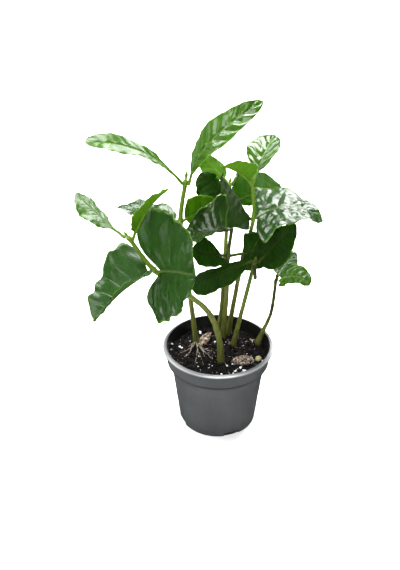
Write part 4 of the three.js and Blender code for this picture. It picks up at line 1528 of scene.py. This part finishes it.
@dataclass
class Soil:
    """The peat filling with grit, fibres, roots and hulls on it.

    Attributes:
        radius: Radius of the peat.
        edge_drop: How much lower it lies at the wall.
        rings: Rings of points on it.
        columns: Points round it.
        crumbs: Number of peat crumbs.
        grits: Number of perlite bits, apart from those at named spots.
        fibres: Number of fibres.
        seed: First seed of all that is strewn.
        below_top: How far the mean surface lies below the solid's top.
        waves: Heights and lengths of the surface's waves.
        grain: Height and length of its small crumbs.
        side_height: Height where its side ends.
        under_height: Height of its bottom.
        crumb_radius: Smallest and largest crumb.
        grit_radius: Smallest and largest bit of perlite.
        fibre_radius: Radius of a fibre.
        fibre_length: Shortest and longest fibre.
        fibre_bend: Largest bend of a fibre.
        grit_spots: Places and radii of the perlite that stands out.
        rootlets: The bare roots.
        hull: The parchment hull.
        husk: The dry husk at the root.
        bean: The bean beside the hull.
    """

    radius: float = 26.75
    edge_drop: float = 0.9
    rings: int = 84
    columns: int = 220
    crumbs: int = 1500
    grits: int = 110
    fibres: int = 130
    seed: int = 11
    below_top: float = 0.35
    waves: tuple[tuple[float, float], ...] = ((0.55, 11.0), (0.4, 4.5), (0.3, 2.0))
    grain: tuple[float, float] = (0.2, 1.0)
    side_height: float = 40.0
    under_height: float = 39.4
    crumb_radius: tuple[float, float] = (0.3, 1.3)
    grit_radius: tuple[float, float] = (0.22, 0.8)
    fibre_radius: float = 0.09
    fibre_length: tuple[float, float] = (1.5, 5.0)
    fibre_bend: float = 60.0
    grit_spots: tuple[Point, ...] = (
        (10.3, -15.5, 1.5), (11.6, -14.7, 1.2), (7.5, -18.6, 0.9), (13.4, -16.3, 1.0), (8.9, -16.6, 0.8),
        (-25.4, 8.6, 0.9), (-25.6, 4.5, 0.7), (-20.9, 5.1, 1.1), (-19.7, 4.6, 0.8), (-9.9, 20.1, 0.9),
        (-5.1, -14.6, 0.7), (4.5, -12.0, 0.8), (-16.0, 14.5, 0.6), (1.5, -19.5, 0.7), (17.5, 2.5, 0.6),
        (-3.0, 2.0, 0.6), (6.5, -21.5, 0.8),
    )
    rootlets: tuple[Rootlet, ...] = (
        Rootlet(-12.9, 6.1, -128, 9.5, 22, 2.2), Rootlet(-12.4, 5.8, -104, 16.5, -26, 2.6),
        Rootlet(-11.9, 5.6, -88, 17.5, 18, 3.0), Rootlet(-11.6, 5.6, -82, 18.5, -16, 2.8),
        Rootlet(-11.2, 5.8, -70, 19.5, 20, 2.6), Rootlet(-10.8, 6.1, -48, 12.0, -32, 2.4),
        Rootlet(-10.5, 6.7, -6, 8.5, 28, 2.0), Rootlet(-13.2, 6.6, -160, 7.5, 16, 1.8),
        Rootlet(-11.6, 5.6, -76, 12.5, 42, 2.2, 0.13), Rootlet(-12.4, 5.8, -114, 13.0, -38, 2.0, 0.13),
        Rootlet(-11.0, 5.9, -58, 15.0, 34, 2.4, 0.13),
        Rootlet(19.8, 9.0, 165, 7.5, 20, 1.0, 0.22), Rootlet(20.2, 9.6, 140, 6.0, -25, 1.2, 0.18),
        Rootlet(19.6, 8.4, 195, 6.5, -15, 0.9, 0.18), Rootlet(20.6, 10.2, 115, 4.5, 10, 1.2, 0.16),
        Rootlet(4.2, 9.4, -60, 6.5, 60, 0.8, 0.28), Rootlet(7.4, 8.6, 150, 5.0, -40, 0.9, 0.22),
    )
    hull: Lump = Lump("parchment_hull", (13.4, -9.0, 43.2), (6.6, 3.6, 2.3), 3.0, -3.0, 0.25, 0.5, 0.4)
    husk: Lump = Lump("dry_husk", (-7.4, 9.9, 43.6), (5.8, 2.5, 2.0), 50.0, -20.0, 0.5, 0.9, 0.45)
    bean: Lump = Lump("green_bean", (21.6, -7.0, 43.0), (1.8, 1.6, 1.4), 30.0, 0.0, 0.3, 0.1)

    def height(self, places: np.ndarray) -> np.ndarray:
        """Height of the peat: waves of several lengths, lower towards the wall.

        Args:
            places: Points with x and y.

        Returns:
            Heights above the pot's underside.
        """
        rough = sum(high * wave_noise(places, length, self.seed + number)
                    for number, (high, length) in enumerate(self.waves))
        high, length = self.grain
        rough = rough + high * np.abs(wave_noise(places, length, self.seed + len(self.waves)))
        away = np.linalg.norm(places, axis=-1) / self.radius
        return SOIL_TOP - self.below_top + rough - self.edge_drop * smooth_step(0.8, 1.0, away)

    def ground_shell(self) -> Shell:
        """The peat's surface on rings round the axis, closed down to a flat bottom within the pot.

        Returns:
            The closed shell.
        """
        turn = np.linspace(0.0, 2.0 * np.pi, self.columns, endpoint=False)
        away = np.linspace(0.02, self.radius, self.rings)
        flat = away[:, None, None] * np.stack([np.cos(turn), np.sin(turn)], -1)[None]
        top = np.concatenate([flat, self.height(flat)[..., None]], -1)
        low = [np.concatenate([ring, np.full((self.columns, 1), high)], -1)[None]
               for ring, high in ((flat[-1], self.side_height), (flat[-1] * 0.9, self.under_height),
                                  (flat[0], self.under_height))]
        return loop_shell(np.concatenate([top, *low]))

    def scattered(self, count: int, low: float, high: float, seed: int,
                  spots: tuple[Point, ...] = ()) -> Shell:
        """Angular bits strewn over the peat: twenty-sided shapes, turned, stretched and dented by seed.

        Args:
            count: Number of bits.
            low: Smallest radius.
            high: Largest radius.
            seed: Seed of places and shapes.
            spots: Places and radii of further bits that lie where they are named.

        Returns:
            All the bits as one shell.
        """
        rng = np.random.default_rng(seed)
        gold = (1.0 + math.sqrt(5.0)) / 2.0
        corners = unit(np.array([[-1, gold, 0], [1, gold, 0], [-1, -gold, 0], [1, -gold, 0],
                                 [0, -1, gold], [0, 1, gold], [0, -1, -gold], [0, 1, -gold],
                                 [gold, 0, -1], [gold, 0, 1], [-gold, 0, -1], [-gold, 0, 1]]))
        faces = np.array([[0, 11, 5], [0, 5, 1], [0, 1, 7], [0, 7, 10], [0, 10, 11], [1, 5, 9], [5, 11, 4],
                          [11, 10, 2], [10, 7, 6], [7, 1, 8], [3, 9, 4], [3, 4, 2], [3, 2, 6], [3, 6, 8],
                          [3, 8, 9], [4, 9, 5], [2, 4, 11], [6, 2, 10], [8, 6, 7], [9, 8, 1]])
        size = low + (high - low) * rng.random(count) ** 3.0
        away = (self.radius - high) * np.sqrt(rng.random(count))
        turn = rng.uniform(0.0, 2.0 * np.pi, count)
        flat = np.stack([away * np.cos(turn), away * np.sin(turn)], -1)
        named = np.array(spots).reshape(-1, 3)
        flat = np.vstack([flat, named[:, :2]])
        size = np.concatenate([size, named[:, 2]])
        count = len(size)
        middle = np.concatenate([flat, (self.height(flat) + 0.25 * size)[:, None]], -1)
        first = unit(rng.normal(size=(count, 3)))
        second = unit(np.cross(first, rng.normal(size=(count, 3))))
        frames = np.stack([first, second, np.cross(first, second)], 1) * rng.uniform(0.6, 1.25, (count, 3, 1))
        bits = np.einsum("pk,nkc->npc", corners, frames) * size[:, None, None]
        bits = bits * rng.uniform(0.75, 1.2, (count, len(corners), 1)) + middle[:, None]
        number = (faces[None] + len(corners) * np.arange(count)[:, None, None]).reshape(-1, 3)
        return Shell(bits.reshape(-1, 3), [number]).facing_out()

    def root_shell(self, root: Rootlet) -> Shell:
        """A root as a tapering tube that arches down from its start and follows the peat.

        Args:
            root: The root's sizes.

        Returns:
            The tube.
        """
        run = np.linspace(0.0, 1.0, 28)
        turn = np.radians(root.heading + root.bend * np.sin(2.6 * run))
        step = root.length / (len(run) - 1)
        flat = np.stack([root.x + np.cumsum(np.cos(turn)) * step,
                         root.y + np.cumsum(np.sin(turn)) * step], -1)
        lift = root.lift * (1.0 - run) ** 1.6 + 0.15 - 0.6 * smooth_step(0.8, 1.0, run)
        path = np.concatenate([flat, (self.height(flat) + lift)[:, None]], -1)
        radius = root.radius * (1.0 - 0.75 * run**1.3)
        return tube_shell(path, radius, 8, UP)

    def fibre_shells(self) -> list[Shell]:
        """Short thin fibres strewn over the peat.

        Returns:
            A thin bent tube for each fibre.
        """
        rng = np.random.default_rng(self.seed + 7)
        away = (self.radius - 3.0) * np.sqrt(rng.random(self.fibres))
        turn = rng.uniform(0.0, 2.0 * np.pi, self.fibres)
        heading = rng.uniform(0.0, 360.0, self.fibres)
        length = rng.uniform(*self.fibre_length, self.fibres)
        bend = rng.uniform(-self.fibre_bend, self.fibre_bend, self.fibres)
        run = np.linspace(0.0, 1.0, 7)
        shells = []
        for number in range(self.fibres):
            way = np.radians(heading[number] + bend[number] * run)
            step = length[number] / (len(run) - 1)
            flat = np.stack([away[number] * math.cos(turn[number]) + np.cumsum(np.cos(way)) * step,
                             away[number] * math.sin(turn[number]) + np.cumsum(np.sin(way)) * step], -1)
            high = self.height(flat) + 0.12 + 0.3 * np.sin(np.pi * run)
            path = np.concatenate([flat, high[:, None]], -1)
            shells.append(tube_shell(path, self.fibre_radius * (1.0 - 0.5 * run), 4, UP))
        return shells

    def lump_shell(self, lump: Lump) -> Shell:
        """A rounded hull: an egg with thinner ends, a crease along its top and a crumpled skin.

        Args:
            lump: The hull's sizes.

        Returns:
            The closed shell.
        """
        down = np.linspace(0.02, np.pi - 0.02, 44)[:, None]
        turn = np.linspace(0.0, 2.0 * np.pi, 56, endpoint=False)[None, :]
        ball = np.stack(np.broadcast_arrays(np.cos(down), np.sin(down) * np.cos(turn),
                                            np.sin(down) * np.sin(turn)), -1)
        dent = lump.crease * np.exp(-((ball[..., 1] / 0.22) ** 2)) * (ball[..., 2] > 0)
        ball[..., 1:] *= (1.0 - lump.taper * np.cos(down) ** 2)[..., None]
        shape = ball * np.array(lump.half) * (1.0 - dent)[..., None]
        for size, pitch, seed in ((0.12, 2.2, 5), (0.06, 1.0, 6)):
            shape = shape * (1.0 + size * lump.crumple * wave_noise(shape, pitch, seed))[..., None]
        a, b = math.radians(lump.heading), math.radians(lump.tilt)
        tilt = np.array([[math.cos(b), 0, math.sin(b)], [0, 1, 0], [-math.sin(b), 0, math.cos(b)]])
        head = np.array([[math.cos(a), -math.sin(a), 0], [math.sin(a), math.cos(a), 0], [0, 0, 1]])
        return loop_shell(shape @ (head @ tilt).T + np.array(lump.middle))

    def build(self, effects: Effects) -> None:
        """Builds the peat and everything on it.

        Args:
            effects: The shared node groups.
        """
        peat = PEAT.make(effects)
        make_piece("peat_bed", self.ground_shell(), peat, ("soil",))
        crumbs = self.scattered(self.crumbs, *self.crumb_radius, self.seed + 4)
        make_piece("peat_crumbs", crumbs, peat, sharp=0.0)
        grit = self.scattered(self.grits, *self.grit_radius, self.seed + 5, self.grit_spots)
        make_piece("perlite_grit", grit, PERLITE.make(effects), sharp=0.0)
        roots = joined([self.root_shell(root) for root in self.rootlets])
        make_piece("fine_roots", roots, ROOT.make(effects))
        make_piece("peat_fibres", joined(self.fibre_shells()), HUSK.make(effects))
        for lump, finish in ((self.hull, HULL), (self.husk, HUSK), (self.bean, SEED)):
            make_piece(f"{lump.name}_piece", self.lump_shell(lump), finish.make(effects))


@dataclass(frozen=True)
class Panel:
    """A soft studio light.

    Attributes:
        name: Name of the light.
        place: Its place in metres.
        aim: The place that it faces.
        size: Width and height in metres.
        power: Power in watts.
        mirrored: Whether it mirrors in gloss.
    """

    name: str
    place: Point
    aim: Point
    size: tuple[float, float]
    power: float
    mirrored: bool = True


@dataclass
class Studio:
    """Floor, lights and the camera at the photograph's angle, in metres.

    Attributes:
        sky_front: Brightness of the sky.
        sky_back: Brightness of its open part.
        sky_way: Direction of the open part.
        sky_open: Closeness to that direction between which the sky opens.
        skyline: Height of the dark band across the open part.
        skyline_reach: Distances from that height between which the band ends.
        backdrop: Brightness of what is seen behind the floor.
        floor_colour: Colour of the floor.
        floor_radius: Radius of the floor.
        floor_sides: Points round the floor.
        focal_px: Focal length in pixels of the photograph.
        image_height: Height of the photograph in pixels.
        sensor: Height of the camera's sensor in millimetres.
        clip: Nearest and farthest distance that the camera sees.
        distance: Distance of the camera from its target.
        elevation: Angle of the camera above level.
        target: What the camera faces.
        panels: The lights.
    """

    sky_front: float = 0.1
    sky_back: float = 1.4
    sky_way: Point = (0.3, 0.95, 0.1)
    sky_open: tuple[float, float] = (0.8, 0.95)
    skyline: float = 0.06
    skyline_reach: tuple[float, float] = (0.06, 0.14)
    backdrop: float = 1.0
    floor_colour: Colour = (0.96, 0.96, 0.96)
    floor_radius: float = 1.3
    floor_sides: int = 96
    focal_px: float = 772.0
    image_height: float = 570.0
    sensor: float = 36.0
    clip: tuple[float, float] = (0.01, 20.0)
    distance: float = 0.4
    elevation: float = 30.9
    target: Point = (-0.00985, 0.0, 0.085)
    panels: tuple[Panel, ...] = (
        Panel("back_window", (0.45, 1.0, 0.8), (0.0, 0.0, 0.12), (0.8, 0.7), 24.0),
        Panel("back_fill", (0.1, 1.2, 0.7), (0.0, 0.0, 0.1), (1.4, 1.0), 18.0, mirrored=False),
        Panel("front_fill", (0.0, -1.2, 0.9), (0.0, 0.0, 0.0), (1.6, 1.0), 8.0, mirrored=False),
        Panel("left_fill", (-1.1, -0.3, 0.25), (0.0, 0.0, 0.03), (0.7, 0.5), 7.0, mirrored=False),
        Panel("left_screen", (-1.0, 0.05, 0.22), (0.0, 0.0, 0.1), (1.0, 0.42), 2.2),
        Panel("left_strip", (-0.84, 0.26, 0.9), (0.0, 0.0, 0.15), (0.35, 0.5), 6.0),
        Panel("top_box", (-0.05, 0.2, 1.0), (0.0, 0.0, 0.1), (0.65, 0.6), 30.0),
        Panel("rim_strip", (-0.5, 0.62, 0.85), (0.0, 0.0, 0.05), (0.5, 0.3), 6.0),
        Panel("front_soft", (-0.05, -0.85, 0.8), (0.0, 0.0, 0.12), (1.0, 0.5), 11.0),
        Panel("right_screen", (0.95, 0.4, 0.12), (0.0, 0.0, 0.12), (0.8, 0.2), 1.2),
    )

    def light_up(self) -> None:
        """Sets the sky, plain where it is seen and open at the back in its light, and the panels."""
        scene = bpy.context.scene
        world = bpy.data.worlds.new("studio_sky")
        world.use_nodes = True
        wire = Wiring(world.node_tree)
        towards = wire.node("ShaderNodeTexCoord").outputs["Generated"]
        open_way = wire.node("ShaderNodeVectorMath", {0: towards, 1: self.sky_way}, operation="DOT_PRODUCT")
        height = wire.node("ShaderNodeSeparateXYZ", {0: towards}).outputs["Z"]
        off = wire.math("ABSOLUTE", wire.math("SUBTRACT", height, self.skyline))
        open_sky = wire.part(wire.spread(open_way.outputs["Value"], *self.sky_open),
                             wire.spread(off, *self.skyline_reach))
        bright = wire.spread(open_sky, 0.0, 1.0, self.sky_front, self.sky_back)
        seen = wire.node("ShaderNodeLightPath").outputs["Is Camera Ray"]
        background = world.node_tree.nodes["Background"]
        wire.feed(background.inputs["Strength"], wire.spread(seen, 0.0, 1.0, bright, self.backdrop))
        wire.feed(background.inputs["Color"], (1.0, 1.0, 1.0))
        scene.world = world
        scene.view_settings.view_transform = "Standard"
        scene.view_settings.look = "None"
        for panel in self.panels:
            lamp = bpy.data.lights.new(panel.name, "AREA")
            lamp.shape = "RECTANGLE"
            lamp.size, lamp.size_y = panel.size
            lamp.energy = panel.power
            holder = bpy.data.objects.new(panel.name, lamp)
            holder.location = panel.place
            holder.visible_glossy = panel.mirrored
            way = Vector(panel.aim) - Vector(panel.place)
            holder.rotation_euler = way.to_track_quat("-Z", "Y").to_euler()
            scene.collection.objects.link(holder)
            LOG.info("light %s: %.1f W", panel.name, panel.power)

    def lay_floor(self) -> bpy.types.Object:
        """Lays the plain pale floor under the pot, a flat disc.

        Returns:
            The floor.
        """
        mesh = bpy.data.meshes.new("floor")
        turn = np.linspace(0.0, 2.0 * np.pi, self.floor_sides, endpoint=False)
        ring = self.floor_radius * np.stack([np.cos(turn), np.sin(turn), np.zeros_like(turn)], -1)
        mesh.from_pydata(ring.tolist(), [], [tuple(range(self.floor_sides))])
        material, wire = new_material("pale_floor")
        wire.surface(wire.skin(self.floor_colour, gloss=0.9, sheen=0.1))
        mesh.materials.append(material)
        floor = bpy.data.objects.new("floor", mesh)
        bpy.context.scene.collection.objects.link(floor)
        floor.visible_glossy = False
        return floor

    def set_camera(self) -> bpy.types.Object:
        """Stands the camera at the fitted distance and elevation, aimed at the target.

        Returns:
            The camera.
        """
        lens = bpy.data.cameras.new("photo_camera")
        lens.sensor_fit = "VERTICAL"
        lens.sensor_height = self.sensor
        lens.lens = self.sensor * self.focal_px / self.image_height
        lens.clip_start, lens.clip_end = self.clip
        camera = bpy.data.objects.new("photo_camera", lens)
        slope = math.radians(self.elevation)
        back = Vector((0.0, -math.cos(slope), math.sin(slope)))
        camera.location = Vector(self.target) + back * self.distance
        camera.rotation_euler = back.to_track_quat("Z", "Y").to_euler()
        bpy.context.scene.collection.objects.link(camera)
        bpy.context.scene.camera = camera
        return camera


def main() -> None:
    """Builds studio, pot, soil, stems and leaves in order."""
    logging.basicConfig(level=logging.INFO, format="%(name)s: %(message)s")
    studio = Studio()
    studio.light_up()
    studio.lay_floor()
    studio.set_camera()
    effects = Effects()
    Pot().build(PlasticFinish().make(effects))
    Soil().build(effects)
    bark = StemFinish().make(effects)
    for stem in STEMS:
        stem.build(bark)
    by_name = {stem.name: stem for stem in STEMS}
    STUB.build(by_name[STUB.stem], bark)
    finishes = {(wax, slot): finish.make(effects)
                for wax, row in WAXES.items() for slot, finish in row.items()}
    for leaf in LEAVES:
        leaf.build(by_name[leaf.stem], finishes[leaf.wax, leaf.tint or leaf.slot])


if __name__ == "__main__":
    main()
